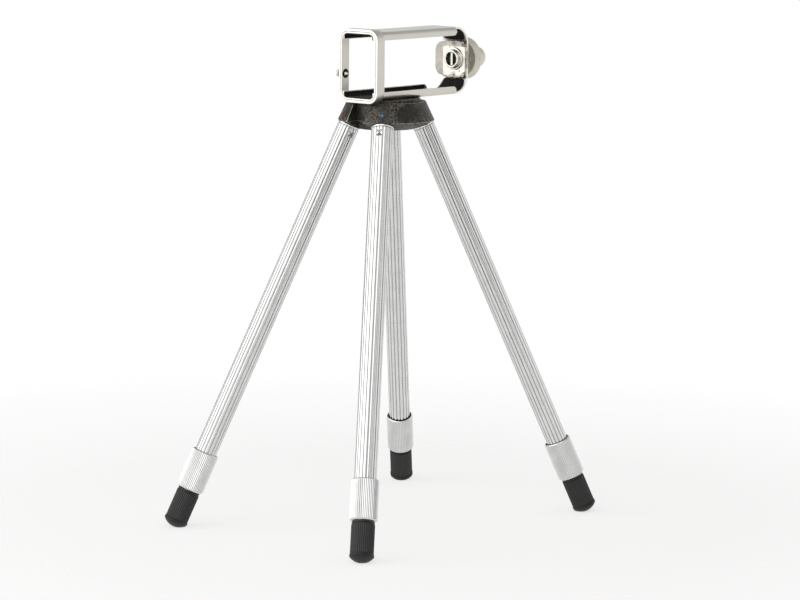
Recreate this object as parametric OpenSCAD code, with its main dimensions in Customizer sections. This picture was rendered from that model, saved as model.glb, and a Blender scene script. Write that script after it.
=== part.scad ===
// Four-legged copy stand for a subminiature camera.
// The camera slides into an aluminium frame on a round black hub and looks
// straight down through the hub. Four telescopic legs screw into the hub.
// Origin on the ground under the hub's axis, +Z up, +X towards the lock knob.

/* [Camera] */
// Width of the camera body that the frame takes
camera_w = 16; // [14:0.1:20]
// Height of the camera body that the frame takes
camera_h = 28; // [24:0.1:34]
// Room at each side of the camera
camera_side_gap = 0.15; // [0.1:0.05:0.6]
// Room above and below the camera
camera_top_gap = 0.1; // [0.05:0.05:0.5]

/* [Hub] */
// Greatest radius of the hub, at its rim
hub_rim_r = 22; // [21:0.1:26]
// Radius of the hub's top face
hub_top_r = 17.9; // [17.5:0.1:20]
// Radius of the flat underside
hub_flat_r = 13.3; // [10:0.1:14]
// Height from the rim up to the top face
hub_cone_h = 8.7; // [7.5:0.1:12]
// Radius of the raised seat under the frame
boss_r = 15.5; // [14:0.1:17]
// Height of the raised seat
boss_h = 1.1; // [0.8:0.1:2]
// Depth of the step that clears the front band
relief_depth = 1.2; // [0.8:0.1:1.6]
// Width of the notch in the rim
notch_w = 9.4; // [6:0.1:11]
// Depth of the notch, measured in from the rim
notch_depth = 7; // [4:0.1:8]
// Diameter of the light passage through the hub
passage_d = 12.8; // [12.6:0.1:13.6]

/* [Lens window] */
// Outer diameter of the window ring
window_ring_d = 14.4; // [13.8:0.1:17]
// Thickness of the window ring
window_ring_t = 2.2; // [1:0.1:3]
// How far the window ring stands below the hub
window_ring_proud = 0.5; // [0.2:0.1:0.9]
// Side of the square lens window
window_w = 8.8; // [7:0.1:9.2]

/* [Marker dots] */
// Diameter of a marker dot
dot_d = 1.5; // [1:0.1:2.5]
// Height of a marker dot above the hub's side
dot_proud = 0.12; // [0.05:0.01:0.3]
// Depth that a marker dot is let into the hub's side
dot_depth = 0.5; // [0.3:0.1:1]
// Share of the way up the hub's side
dot_height = 0.42; // [0.3:0.01:0.7]

/* [Leg sockets] */
// Distance from the hub's rim in to the centre of a leg's seat
socket_inset = 4.9; // [4:0.1:5.4]
// Angle of a leg's direction from the X axis, seen from above
leg_azimuth = 35.7; // [32:0.1:40]
// Slope of a leg away from the vertical
leg_splay = 23.85; // [18:0.05:28]
// Depth of the flat spot-face that a leg seats on
spot_depth = 0.3; // [0.2:0.05:0.6]
// Diameter of the flat spot-face
spot_d = 10.8; // [10.6:0.1:12]
// Diameter of a socket insert's flange
insert_flange_d = 8.8; // [8:0.1:9.6]
// Thickness of a socket insert's flange
insert_flange_t = 1; // [0.6:0.1:1.5]
// Diameter of a socket insert's body
insert_d = 7; // [6.4:0.1:7.6]
// Length of a socket insert
insert_len = 6.4; // [5.8:0.1:7]
// Diameter of the threaded bore in a socket insert
insert_bore_d = 5; // [4:0.1:5.4]

/* [Camera frame] */
// Thickness of the frame's aluminium strip
sheet_t = 0.9; // [0.7:0.05:1.2]
// Thickness of the black lining
lining_t = 0.4; // [0.3:0.05:0.8]
// How far the rails' lining stays behind their edges
lining_edge = 0.3; // [0.1:0.05:1]
// Outer corner radius of the rails
rail_corner_r = 2.2; // [1.6:0.1:3]
// Height of the rails' side flanges
flange_h = 3.7; // [3:0.1:6]
// Radius at the free end of a side flange
flange_end_r = 2.2; // [1:0.1:2.8]
// Where the flanged rails end, from the hub's axis
rail_end_x = 38.3; // [34:0.1:42]
// Width of the strap beyond the rails
strap_w = 14.5; // [13.8:0.1:16]
// Outer face of the end wall, from the hub's axis
end_x = 49; // [47.5:0.1:54]
// Outer radius of the bends beside the end wall
bend_r = 6; // [4:0.1:6.4]
// Width of the lining at the bends
end_lining_w = 12.6; // [9:0.1:13.4]
// How far the bends' lining runs on along the end wall
end_lining_rise = 0.5; // [0:0.1:0.8]
// How far each side of the front ring stands out from the rails
ring_side = 1; // [0.9:0.05:1.6]
// Front edge of the ring, from the hub's axis
ring_x = -19.7; // [-21:0.1:-18.6]
// Depth of the front ring
ring_depth = 5; // [4.2:0.1:5.3]
// Corner radius of the front ring's inside
ring_corner_r = 3.2; // [2.4:0.1:4]
// Thickness of the outer front band
band_t = 1.25; // [0.8:0.05:1.6]
// Diameter of the frame screws' shanks
frame_screw_d = 2; // [1.6:0.1:2.4]
// Diameter of the frame screws' heads
frame_screw_head_d = 3.6; // [3:0.1:4]
// Length of the frame screws below the strip
frame_screw_len = 4.5; // [3:0.1:6]
// Distance of each frame screw from the hub's axis
frame_screw_x = 10.6; // [10.2:0.1:11.2]

/* [End dish] */
// Thickness of the dish's pressed sheet
dish_t = 0.6; // [0.4:0.05:0.8]
// Width of the dish's flat base
dish_w = 13.6; // [13:0.1:14.4]
// Height of the dish's flat base
dish_h = 12.7; // [12.4:0.1:13.4]
// Slant length of the flared side ears
ear_len = 3.4; // [3:0.1:3.6]
// Height of the flared side ears
ear_h = 15.6; // [13:0.1:16]
// Corner radius of the ears
ear_corner_r = 2.6; // [0.8:0.1:2.8]
// Slant length of the top and bottom flaps
flap_len = 2.6; // [1.6:0.1:2.8]
// Width of the top and bottom flaps
flap_w = 12.6; // [10:0.1:13]
// Slope of the flaps out of the base's plane
flap_angle = 32; // [20:1:40]
// Slope of the ears out of the base's plane
ear_angle = 45; // [30:1:50]
// Diameter of the bayonet disc's flange
disc_d = 11.2; // [10:0.1:11.3]
// Thickness of the bayonet disc's flange
disc_t = 0.6; // [0.4:0.05:1]
// Diameter of the raised nose on the bayonet disc
nose_d = 8.6; // [7.8:0.1:9.4]
// Height of the raised nose
nose_h = 1.6; // [1:0.1:2]
// Diameter of the hole in the nose
nose_bore_d = 6.4; // [6:0.1:6.8]
// Diameter of the dish rivets' heads
rivet_head_d = 1; // [0.8:0.1:1.2]
// Diameter of the dish rivets' shanks
rivet_d = 0.7; // [0.5:0.05:0.75]
// Height of the dish rivets' heads
rivet_head_t = 0.25; // [0.15:0.05:0.4]
// Sideways place of the dish rivets
rivet_y = 3; // [3:0.1:4]
// Height of the dish rivets from the middle
rivet_z = 5.45; // [5.4:0.05:5.6]

/* [Lock knob] */
// Diameter of the lock spindle
spindle_d = 3.9; // [3:0.05:4.2]
// Diameter of the bush's outside
bush_d = 7.6; // [7:0.1:9]
// Diameter of the bush's neck through the end wall
bush_neck_d = 5.9; // [5.2:0.1:6.4]
// Length of the bush outside the end wall
bush_len = 4.2; // [3:0.1:5]
// Gap from the bush to the front rim of the bell
bell_gap = 1.1; // [0.8:0.1:2]
// Radius of the bell's front rim
bell_rim_r = 8.2; // [7.8:0.1:9]
// Greatest radius of the bell
bell_r = 9.9; // [9.4:0.05:11]
// Axial length from the front rim to the greatest radius
bell_flare = 2.5; // [1.6:0.1:3]
// Axial length from the greatest radius to the knob
bell_back = 5.2; // [4:0.1:7]
// Hollowing of the bell's back: 1 is a straight cone
bell_hollow = 1.35; // [1:0.05:1.6]
// Wall of the bell
bell_wall = 1.2; // [0.8:0.05:1.6]
// Radius of the knob's grip
knob_r = 4.8; // [4.6:0.05:6]
// Length of the knob's grip
knob_len = 4.5; // [4.2:0.1:7]
// Radius of the knob's rounded end
knob_edge_r = 2.2; // [1:0.1:2.4]
// Diameter of the cross pin through the knob and spindle
knob_pin_d = 1.2; // [0.8:0.1:1.6]
// Diameter of the bayonet head inside the disc
bayonet_d = 5.8; // [5:0.1:5.9]
// Thickness of the bayonet bar
bayonet_bar = 1.1; // [0.8:0.1:1.6]
// How far the bayonet bar lies inside the nose
bayonet_inset = 0.5; // [0.2:0.1:0.6]
// Depth of the pockets beside the bayonet bar
bayonet_pocket = 1; // [0.5:0.1:1.2]

/* [Side screw] */
// Height of the side screw above the frame's underside
side_screw_z = 11.5; // [9:0.1:20]
// Diameter of the side screw's shank
side_screw_d = 2; // [1.6:0.1:2.6]
// How far the side screw's tip shows inside the ring
side_tip_len = 1.2; // [0.8:0.1:1.3]
// Diameter of the side screw's knurled head
side_head_d = 3.4; // [3:0.1:5]
// Length of the side screw's head
side_head_len = 1.2; // [1:0.1:3]
// Outer diameter of the screw's threaded boss
side_boss_d = 4.8; // [4.4:0.1:5]
// Height of the threaded boss outside the band
side_boss_h = 0.6; // [0.4:0.1:1.5]
// Diameter of the boss's neck through the ring
side_neck_d = 4.2; // [3.6:0.1:4.2]
// How far the boss's neck stays back from the ring's inside
side_neck_inset = 0.9; // [0.3:0.1:1.2]
// How far the side screw can be driven in
side_screw_travel = 0.5; // [0.3:0.1:1]
// Number of teeth in the side screw's knurl
side_knurl_count = 20; // [16:1:32]
// Depth of the side screw's knurl
side_knurl_depth = 0.1; // [0.06:0.02:0.2]
// Width of the slot in the side screw's head
side_slot_w = 0.5; // [0.4:0.1:0.9]

/* [Leg tubes] */
// Diameter over the ribs of a leg's outer tube
tube_d = 10; // [9:0.1:10.6]
// Wall of the outer tube, measured at the ribs
tube_wall = 0.7; // [0.65:0.05:0.8]
// Number of ribs round the outer tube
rib_count = 18; // [16:1:22]
// Radius of one rib's crown
rib_r = 1.2; // [1.1:0.05:1.4]
// Room round the inner tube inside the outer tube
inner_room = 0.9; // [0.8:0.05:1.2]
// Wall of the inner tube
inner_wall = 0.6; // [0.4:0.05:0.9]
// How far the leg plug's flange stands out round the tube
plug_lip = 0.2; // [0:0.05:0.3]
// Thickness of the leg plug's flange
plug_flange_t = 1; // [0.8:0.1:1.6]
// Length of the leg plug inside the tube
plug_len = 10; // [7:0.1:14]
// Length of the threaded stud on the leg plug
stud_len = 5.4; // [4:0.1:5.6]
// Room between the leg plug and the guide bush
guide_gap = 4; // [2:0.1:8]
// Length of the guide bush on the inner tube
guide_len = 8; // [5:0.1:12]
// Distance of the crimp mark from the leg's flange
crimp_s = 3.2; // [2.6:0.1:7]
// Width across the crimp mark
crimp_w = 4; // [2.4:0.1:4.4]
// Depth of the crimp mark
crimp_depth = 0.6; // [0.3:0.05:0.65]
// Turn of the crimp mark round the left, front, right and back legs
crimp_turn = [107, -11, 150, 120]; // [-180:1:180]

/* [Leg collars] */
// Distance from a leg's seat to the top of its collar
collar_s = 162.6; // [140:0.1:180]
// Wall of a collar round its mouth, with the reeds
collar_wall = 0.6; // [0.5:0.05:1.1]
// Length of a collar
collar_len = 18.7; // [17:0.1:22]
// Room round the outer tube in the open mouth of a collar
mouth_room = 0.6; // [0.4:0.05:0.8]
// Depth of the open mouth of a collar
mouth_len = 7.6; // [5:0.1:9]
// Number of reeds round a collar
reed_count = 48; // [36:1:60]
// Depth of the reeds
reed_depth = 0.22; // [0.1:0.02:0.3]
// Size of the chamfers at a collar's ends
collar_chamfer = 0.7; // [0.3:0.1:0.8]
// Step from the outer tube to the collet's threaded body
collet_step = 0.15; // [0:0.05:0.3]
// Length of the collet's threaded body
collet_len = 6; // [5:0.1:7]
// Length of the collet's neck inside the tube
collet_neck = 6; // [4:0.1:10]
// Length of the collet's slotted fingers
finger_len = 2.6; // [2:0.1:3]
// Wall of the collet's fingers at their tips
finger_wall = 0.65; // [0.5:0.05:0.85]
// Width of the slots between the collet's fingers
finger_slot_w = 0.8; // [0.5:0.1:1.2]

/* [Feet] */
// Gap from the collar to the foot with the leg pushed in
foot_gap = 0.3; // [0.2:0.05:1]
// Thickness of the foot's top lip
lip_t = 0.8; // [0.5:0.1:1.5]
// Diameter of the foot's top lip
lip_d = 10.2; // [9.8:0.1:11.5]
// Width of the groove below the lip
groove_w = 0.3; // [0.2:0.1:2]
// Diameter at the bottom of the groove
groove_d = 9.4; // [8:0.1:9.8]
// Diameter over the ribs of the foot's barrel
barrel_d = 10.4; // [10.2:0.1:11.5]
// Length of the foot's barrel
barrel_len = 13.2; // [8:0.1:16]
// Number of ribs round the foot's barrel
barrel_rib_count = 40; // [30:1:48]
// Depth of the barrel's ribs
barrel_rib_depth = 0.18; // [0.1:0.02:0.3]
// Solid end of the barrel above the rubber tip
barrel_floor = 3.6; // [3.2:0.1:5]
// Diameter of the rubber tip
tip_d = 10.9; // [10.6:0.1:12]
// Length of the rubber tip
tip_len = 3.9; // [3.4:0.1:8]
// Radius of the rubber tip's rounded end
tip_dome_r = 7; // [6.4:0.1:9]
// Depth of the worn flat under the rubber tip
tip_flat = 0.4; // [0.2:0.05:0.8]
// Diameter of the peg that holds the rubber tip
peg_d = 4.6; // [3:0.1:6]
// Length of the peg that holds the rubber tip
peg_len = 2.8; // [1.5:0.1:3]

/* [Clearances] */
// Radial clearance of a turning or sliding fit
run_fit = 0.05; // [0.02:0.01:0.1]
// Clearance between pieces that are fixed together
fixed_fit = 0.03; // [0.02:0.01:0.1]
// Gap between flat faces that turn on each other
face_gap = 0.05; // [0.03:0.01:0.2]
// Clear room round a piece that moves past another
free_gap = 0.3; // [0.2:0.05:0.6]

/* [Hidden] */
$fn = 96;
// Extra length that a cutting tool runs past a face
past = 1;
LEFT = 0;
FRONT = 1;
RIGHT = 2;
BACK = 3;
// Direction of each leg from the hub's axis, seen from above
leg_directions = [180 - leg_azimuth, 180 + leg_azimuth, -leg_azimuth, leg_azimuth];

// Places along a leg, measured from its seat on the hub
plug_end_s = face_gap + plug_flange_t + plug_len;
guide_s = plug_end_s + guide_gap;
guide_end_s = guide_s + guide_len;
tube_end_s = collar_s + mouth_len;
collet_end_s = tube_end_s + collet_len;
finger_end_s = collet_end_s + finger_len;
collar_end_s = collar_s + collar_len;
foot_s = collar_end_s + foot_gap;
barrel_s = foot_s + lip_t + groove_w;
barrel_end_s = barrel_s + barrel_len;
inner_end_s = barrel_end_s - barrel_floor;
tip_end_s = barrel_end_s + tip_len;
dome_s = tip_end_s - tip_dome_r;
leg_travel = tube_end_s - collet_neck - guide_end_s - free_gap;

// Radius from the hub's axis to the centre of a leg's seat
socket_r = hub_rim_r - socket_inset;

// Heights above the ground
seat_z = dome_s * cos(leg_splay) + tip_dome_r - tip_flat;
cone_drop = spot_depth / cos(leg_splay);
rim_z = seat_z + (hub_rim_r - socket_r) * tan(leg_splay) - cone_drop;
flat_z = seat_z - (socket_r - hub_flat_r) * tan(leg_splay) - cone_drop;
top_z = rim_z + hub_cone_h;
frame_z = top_z + boss_h;

// Sections of the camera frame
frame_wall = sheet_t + lining_t;
frame_w = camera_w + 2 * (camera_side_gap + frame_wall);
frame_h = camera_h + 2 * (camera_top_gap + frame_wall);
middle_z = frame_z + frame_h / 2;
sleeve_w = frame_w + 2 * ring_side;
sleeve_corner_r = ring_corner_r + sheet_t;
band_in_w = sleeve_w + 2 * fixed_fit;
band_in_h = frame_h + 2 * fixed_fit;
band_w = band_in_w + 2 * band_t;
band_h = band_in_h + 2 * band_t;
band_corner_r = sleeve_corner_r + fixed_fit + band_t;
ring_end_x = ring_x + ring_depth;
ring_middle_x = ring_x + ring_depth / 2;
rail_x = ring_end_x + fixed_fit;
wall_x = end_x - sheet_t;
lens_hole_d = passage_d;

// Places along the lock's axis
dish_x = wall_x - fixed_fit - dish_t;
disc_x = dish_x - fixed_fit - disc_t;
nose_x = disc_x - nose_h;
bayonet_x = nose_x + bayonet_inset;
bush_end_x = end_x + bush_len;
bell_x = bush_end_x + bell_gap;
bell_max_x = bell_x + bell_flare;
grip_x = bell_max_x + bell_back;
knob_end_x = grip_x + knob_len;
knob_pin_x = grip_x + knob_pin_d;
bush_bore_d = spindle_d + 2 * run_fit;
knob_boss_d = spindle_d + 2 * bell_wall;

// Places across the side screw
band_side_y = band_w / 2;
sleeve_in_y = sleeve_w / 2 - sheet_t;
side_tip_y = sleeve_in_y - side_tip_len;
side_neck_y = sleeve_in_y + side_neck_inset;
boss_end_y = band_side_y + fixed_fit + side_boss_h;
side_head_y = boss_end_y + side_screw_travel + face_gap;
side_screw_height = frame_z + side_screw_z;
side_bore_d = side_screw_d + 2 * run_fit;

// Sizes inside a leg
tube_bore_d = tube_d - 2 * tube_wall;
inner_d = tube_bore_d - 2 * inner_room;
stud_d = insert_bore_d - 2 * run_fit;
plug_d = tube_bore_d - 2 * fixed_fit;
plug_flange_d = tube_d + 2 * plug_lip;
guide_d = tube_bore_d - 2 * run_fit;
guide_bore_d = inner_d + 2 * fixed_fit;
collet_d = tube_d + 2 * collet_step;
collet_bore_d = inner_d + 2 * run_fit;
finger_tip_d = collet_bore_d + 2 * finger_wall;
mouth_d = tube_d + 2 * mouth_room;
collar_d = mouth_d + 2 * collar_wall;
collar_bore_d = collet_d + 2 * run_fit;
collar_cone_d = finger_tip_d + 2 * free_gap;
collar_hole_d = inner_d + 2 * free_gap;
foot_bore_d = inner_d + 2 * fixed_fit;

hub_black = "#26241f";
satin_aluminium = "#c4c0b4";
bright_aluminium = "#dcdad4";
plated_steel = "#d2d0ca";
lining_black = "#1d1a18";
rubber_black = "#232120";
brass = "#b59a5a";
nylon = "#e6e1d3";

// Puts children on a leg's axis: local z runs from the seat down the leg.
module at_leg(leg) {
    rotate([0, 0, leg_directions[leg]])
        translate([socket_r, 0, seat_z])
            rotate([0, 180 - leg_splay, 0])
                children();
}

// Rod along a leg's axis between two distances from the seat.
module rod(d, s0, s1) {
    translate([0, 0, s0]) cylinder(d = d, h = s1 - s0);
}

// Cone along a leg's axis between two distances from the seat.
module cone(d0, d1, s0, s1) {
    translate([0, 0, s0]) cylinder(d1 = d0, d2 = d1, h = s1 - s0);
}

// Rod along X between two places.
module rod_x(d, x0, x1) {
    translate([x0, 0, 0]) rotate([0, 90, 0]) cylinder(d = d, h = x1 - x0);
}

// Rod along Y between two places.
module rod_y(d, y0, y1) {
    translate([0, y0, 0]) rotate([-90, 0, 0]) cylinder(d = d, h = y1 - y0);
}

// Rectangle with round corners, centred.
module round_rectangle(w, h, r) {
    square([w - 2 * r, h], center = true);
    square([w, h - 2 * r], center = true);
    for (x = [-1, 1], y = [-1, 1])
        translate([x * (w / 2 - r), y * (h / 2 - r)]) circle(r);
}

// Hollow rectangle with round corners.
module round_tube(w, h, r, t) {
    difference() {
        round_rectangle(w, h, r);
        round_rectangle(w - 2 * t, h - 2 * t, r - t);
    }
}

// Sweeps a Y-Z outline, centred on the frame, along X.
module along_x(x0, x1) {
    translate([x0, 0, middle_z]) rotate([90, 0, 90]) linear_extrude(x1 - x0) children();
}

// Sweeps an X-Z outline across Y, centred.
module across_y(w) {
    rotate([90, 0, 0]) linear_extrude(w, center = true) children();
}

// Ring of points that step between two radii, for reeds and ribs.
function reeded(r, depth, count) = [
    for (k = [0:2 * count - 1])
        let (radius = r - depth * (k % 2), angle = 180 * k / count)
            [radius * cos(angle), radius * sin(angle)]
];

// Round hub: conical side, conical underside square to the legs, raised seat.
module hub_body() {
    rotate_extrude() polygon([
        [0, flat_z], [hub_flat_r, flat_z], [hub_rim_r, rim_z],
        [hub_top_r, top_z], [boss_r, top_z], [boss_r, frame_z], [0, frame_z]
    ]);
}

module hub_casting() {
    relief_x = ring_end_x + free_gap;
    color(hub_black) difference() {
        hub_body();
        translate([0, 0, flat_z - past]) cylinder(d = passage_d, h = frame_z - flat_z + 2 * past);
        translate([0, 0, flat_z - past])
            cylinder(d = window_ring_d + 2 * fixed_fit, h = window_ring_t - window_ring_proud + past);
        translate([-hub_rim_r - past, -notch_w / 2, flat_z - past])
            cube([notch_depth + past, notch_w, frame_z - flat_z + 2 * past]);
        translate([relief_x - hub_rim_r, -hub_rim_r, top_z - relief_depth])
            cube([hub_rim_r, 2 * hub_rim_r, relief_depth + boss_h + past]);
        for (leg = [LEFT:BACK]) at_leg(leg) {
            rod(spot_d, 0, spot_depth + past);
            rod(insert_flange_d + 2 * fixed_fit, -insert_flange_t, past);
            rod(insert_d + 2 * fixed_fit, -insert_len - fixed_fit, past);
        }
        for (leg = [LEFT:BACK]) marker_place(leg) rod_x(dot_d + 2 * fixed_fit, -dot_depth, past);
        for (x = [-1, 1]) translate([x * frame_screw_x, 0, frame_z - frame_screw_len - fixed_fit])
            cylinder(d = frame_screw_d + 2 * fixed_fit, h = frame_screw_len + past);
    }
}

// Puts children on the hub's conical side above a leg, local x outwards.
module marker_place(leg) {
    lean = atan((hub_rim_r - hub_top_r) / hub_cone_h);
    rotate([0, 0, leg_directions[leg]])
        translate([hub_rim_r + (hub_top_r - hub_rim_r) * dot_height, 0, rim_z + hub_cone_h * dot_height])
            rotate([0, -lean, 0])
                children();
}

module marker_dot(leg, paint) {
    color(paint) marker_place(leg) rod_x(dot_d, fixed_fit - dot_depth, dot_proud);
}

module lens_window_ring() {
    color(bright_aluminium) translate([0, 0, flat_z - window_ring_proud]) difference() {
        cylinder(d = window_ring_d, h = window_ring_t - fixed_fit);
        translate([-window_w / 2, -window_w / 2, -past])
            cube([window_w, window_w, window_ring_t + 2 * past]);
    }
}

// Threaded metal inserts that the leg studs screw into.
module socket_inserts() {
    color(bright_aluminium) for (leg = [LEFT:BACK]) at_leg(leg) difference() {
        union() {
            rod(insert_flange_d, fixed_fit - insert_flange_t, 0);
            rod(insert_d, -insert_len, 0);
        }
        rod(insert_bore_d, -insert_len - past, past);
    }
}

// Cuts the free corners off the ends of the rails' flanges.
module flange_corner_cut() {
    for (side = [-1, 1]) {
        corner_z = side * (frame_h / 2 - flange_h + flange_end_r);
        translate([0, 0, middle_z]) across_y(frame_w + 2 * past) difference() {
            translate([rail_end_x - flange_end_r, corner_z - (side > 0 ? flange_end_r + past : 0)])
                square([flange_end_r + past, flange_end_r + past]);
            translate([rail_end_x - flange_end_r, corner_z]) circle(flange_end_r);
        }
    }
}

// Section of the rails: a tube whose sides are cut away between the flanges.
module rail_outline() {
    difference() {
        round_tube(frame_w, frame_h, rail_corner_r, sheet_t);
        square([frame_w + past, frame_h - 2 * flange_h], center = true);
    }
}

// Top and bottom C-shaped rails with their side flanges, trimmed to the sleeve inside the ring.
module rails() {
    along_x(ring_x, rail_x) intersection() {
        rail_outline();
        round_rectangle(sleeve_w, frame_h, sleeve_corner_r);
    }
    difference() {
        along_x(rail_x, rail_end_x) rail_outline();
        flange_corner_cut();
    }
}

// Strap that bends round from one rail to the other across the end.
module end_strap() {
    reach = 2 * (end_x - rail_end_x + bend_r);
    translate([0, 0, middle_z]) across_y(strap_w) intersection() {
        translate([end_x - reach / 2, 0]) round_tube(reach, frame_h, bend_r, sheet_t);
        translate([rail_end_x - sheet_t, -frame_h / 2]) square([reach, frame_h]);
    }
}

module camera_frame() {
    color(satin_aluminium) difference() {
        union() {
            along_x(ring_x, ring_end_x) round_tube(sleeve_w, frame_h, sleeve_corner_r, sheet_t);
            rails();
            end_strap();
        }
        translate([0, 0, frame_z - past]) cylinder(d = lens_hole_d, h = sheet_t + 2 * past);
        for (x = [-1, 1]) translate([x * frame_screw_x, 0, frame_z]) {
            translate([0, 0, -past]) cylinder(d = frame_screw_d + 2 * fixed_fit, h = sheet_t + 2 * past);
            translate([0, 0, sheet_t / 2]) cylinder(d = frame_screw_head_d + 2 * fixed_fit, h = sheet_t);
        }
        translate([0, 0, middle_z]) rod_x(bush_neck_d + 2 * fixed_fit, wall_x - past, end_x + past);
        for (side = [-1, 1]) translate([0, side * rivet_y, middle_z + side * rivet_z])
            rod_x(rivet_d + 2 * fixed_fit, wall_x - past, end_x + past);
        side_neck_hole();
    }
}

// Hole for the side screw's boss through the ring's left wall.
module side_neck_hole() {
    translate([ring_middle_x, 0, side_screw_height])
        rod_y(side_neck_d + 2 * fixed_fit, sleeve_in_y - past, band_side_y + past);
}

module frame_screws() {
    color(plated_steel) for (x = [-1, 1]) translate([x * frame_screw_x, 0, frame_z]) {
        translate([0, 0, -frame_screw_len]) cylinder(d = frame_screw_d, h = frame_screw_len + sheet_t);
        translate([0, 0, sheet_t / 2 + fixed_fit]) cylinder(d = frame_screw_head_d, h = sheet_t / 2 - fixed_fit);
    }
}

// Closed band round the front ring.
module front_band() {
    color(satin_aluminium) difference() {
        along_x(ring_x, ring_end_x) difference() {
            round_rectangle(band_w, band_h, band_corner_r);
            round_rectangle(band_in_w, band_in_h, band_corner_r - band_t);
        }
        side_neck_hole();
    }
}

// Section of one rail's lining; side is -1 for the bottom and 1 for the top.
module lining_outline(side) {
    gap = sheet_t + fixed_fit;
    intersection() {
        round_tube(frame_w - 2 * gap, frame_h - 2 * gap, rail_corner_r - sheet_t, lining_t);
        translate([0, side * frame_h / 2])
            square([frame_w, 2 * (flange_h - lining_edge)], center = true);
    }
}

// Black lining of one rail, trimmed to the sleeve inside the ring.
module rail_lining(side) {
    gap = sheet_t + fixed_fit;
    along_x(ring_x + lining_edge, rail_x) intersection() {
        lining_outline(side);
        round_rectangle(sleeve_w - 2 * gap, frame_h - 2 * gap, ring_corner_r - fixed_fit);
    }
    along_x(rail_x, rail_end_x - flange_end_r) lining_outline(side);
}

module bottom_lining() {
    color(lining_black) difference() {
        rail_lining(-1);
        translate([0, 0, frame_z]) cylinder(d = lens_hole_d, h = frame_h / 2);
    }
}

module top_lining() {
    color(lining_black) rail_lining(1);
}

// Black lining of one bend beside the end wall.
module end_lining(side) {
    gap = sheet_t + fixed_fit;
    reach = 2 * (wall_x - fixed_fit - rail_end_x + bend_r);
    bend_top = bend_r + end_lining_rise;
    color(lining_black) translate([0, 0, middle_z]) across_y(end_lining_w) intersection() {
        translate([wall_x - fixed_fit - reach / 2, 0])
            round_tube(reach, frame_h - 2 * gap, bend_r - gap, lining_t);
        translate([rail_end_x - flange_end_r + fixed_fit, side < 0 ? -frame_h / 2 : frame_h / 2 - bend_top])
            square([reach, bend_top]);
    }
}

// Flat leaf that stands on its lower edge and has two round upper corners.
module leaf_outline(w, len, r) {
    intersection() {
        round_rectangle(w, 2 * len, r);
        translate([-w / 2, 0]) square([w, len]);
    }
}

// One slanted leaf of the dish, bent about the back of its base, leaning towards -X.
module dish_leaf(w, len, angle, r) {
    translate([dish_t, 0, 0]) rotate([0, -angle, 0]) translate([-dish_t, 0, 0])
        rotate([90, 0, 90]) linear_extrude(dish_t) leaf_outline(w, len, r);
}

// Pressed dish that the camera's end rests in.
module end_dish() {
    color(plated_steel) translate([dish_x, 0, middle_z]) difference() {
        union() {
            translate([0, -dish_w / 2, -dish_h / 2]) cube([dish_t, dish_w, dish_h]);
            for (turn = [0, 180]) rotate([turn, 0, 0]) translate([0, 0, dish_h / 2])
                dish_leaf(flap_w, flap_len, flap_angle, dish_t);
            for (turn = [90, -90]) rotate([turn, 0, 0]) translate([0, 0, dish_w / 2])
                dish_leaf(ear_h, ear_len, ear_angle, ear_corner_r);
        }
        rod_x(bush_neck_d + 2 * fixed_fit, -past, dish_t + past);
        for (side = [-1, 1]) translate([0, side * rivet_y, side * rivet_z])
            rod_x(rivet_d + 2 * fixed_fit, -past, dish_t + past);
    }
}

// Flanged disc with a raised nose that takes the camera's end stud.
module bayonet_disc() {
    color(plated_steel) translate([0, 0, middle_z]) difference() {
        union() {
            rod_x(disc_d, disc_x, dish_x - fixed_fit);
            rod_x(nose_d, nose_x, dish_x - fixed_fit);
        }
        rod_x(nose_bore_d, nose_x - past, dish_x + past);
    }
}

module dish_rivets() {
    color(plated_steel) for (side = [-1, 1])
        translate([0, side * rivet_y, middle_z + side * rivet_z]) {
            rod_x(rivet_d, dish_x - rivet_head_t, end_x);
            rod_x(rivet_head_d, dish_x - rivet_head_t, dish_x - fixed_fit);
        }
}

// Bush through the end wall that the spindle turns in.
module lock_bush() {
    color(bright_aluminium) translate([0, 0, middle_z]) difference() {
        union() {
            rod_x(bush_d, end_x + fixed_fit, bush_end_x);
            rod_x(bush_neck_d, dish_x, end_x + bush_len / 2);
        }
        rod_x(bush_bore_d, dish_x - past, bush_end_x + past);
    }
}

// Back of the bell, which hollows in from its greatest radius to the grip.
bell_steps = 8;
function bell_back_curve() = [
    for (k = [0:bell_steps])
        let (t = k / bell_steps)
            [knob_r + (bell_r - knob_r) * pow(1 - t, bell_hollow), bell_max_x + bell_back * t]
];

// Outline of the bell knob, turned round the lock's axis.
module bell_outline() {
    difference() {
        union() {
            polygon(concat([[0, bell_x], [bell_rim_r, bell_x]], bell_back_curve(), [[0, grip_x]]));
            translate([0, grip_x - past]) square([knob_r, knob_len + past - knob_edge_r]);
            translate([0, grip_x]) square([knob_r - knob_edge_r, knob_len]);
            translate([knob_r - knob_edge_r, knob_end_x - knob_edge_r]) circle(knob_edge_r);
        }
        translate([knob_boss_d / 2, bell_x - past])
            square([bell_rim_r - bell_wall - knob_boss_d / 2, bell_flare + past]);
    }
}

// Bell-shaped lock knob with a central hub on the spindle.
module lock_knob() {
    color(satin_aluminium) difference() {
        translate([0, 0, middle_z]) union() {
            rotate([0, 90, 0]) rotate_extrude() bell_outline();
            rod_x(knob_boss_d, bush_end_x + face_gap, bell_x + past);
        }
        translate([0, 0, middle_z]) rod_x(spindle_d + 2 * fixed_fit, bush_end_x - past, knob_pin_x + knob_pin_d);
        translate([knob_pin_x, 0, middle_z])
            rod_y(knob_pin_d + 2 * fixed_fit, -knob_r - past, knob_r + past);
    }
}

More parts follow.
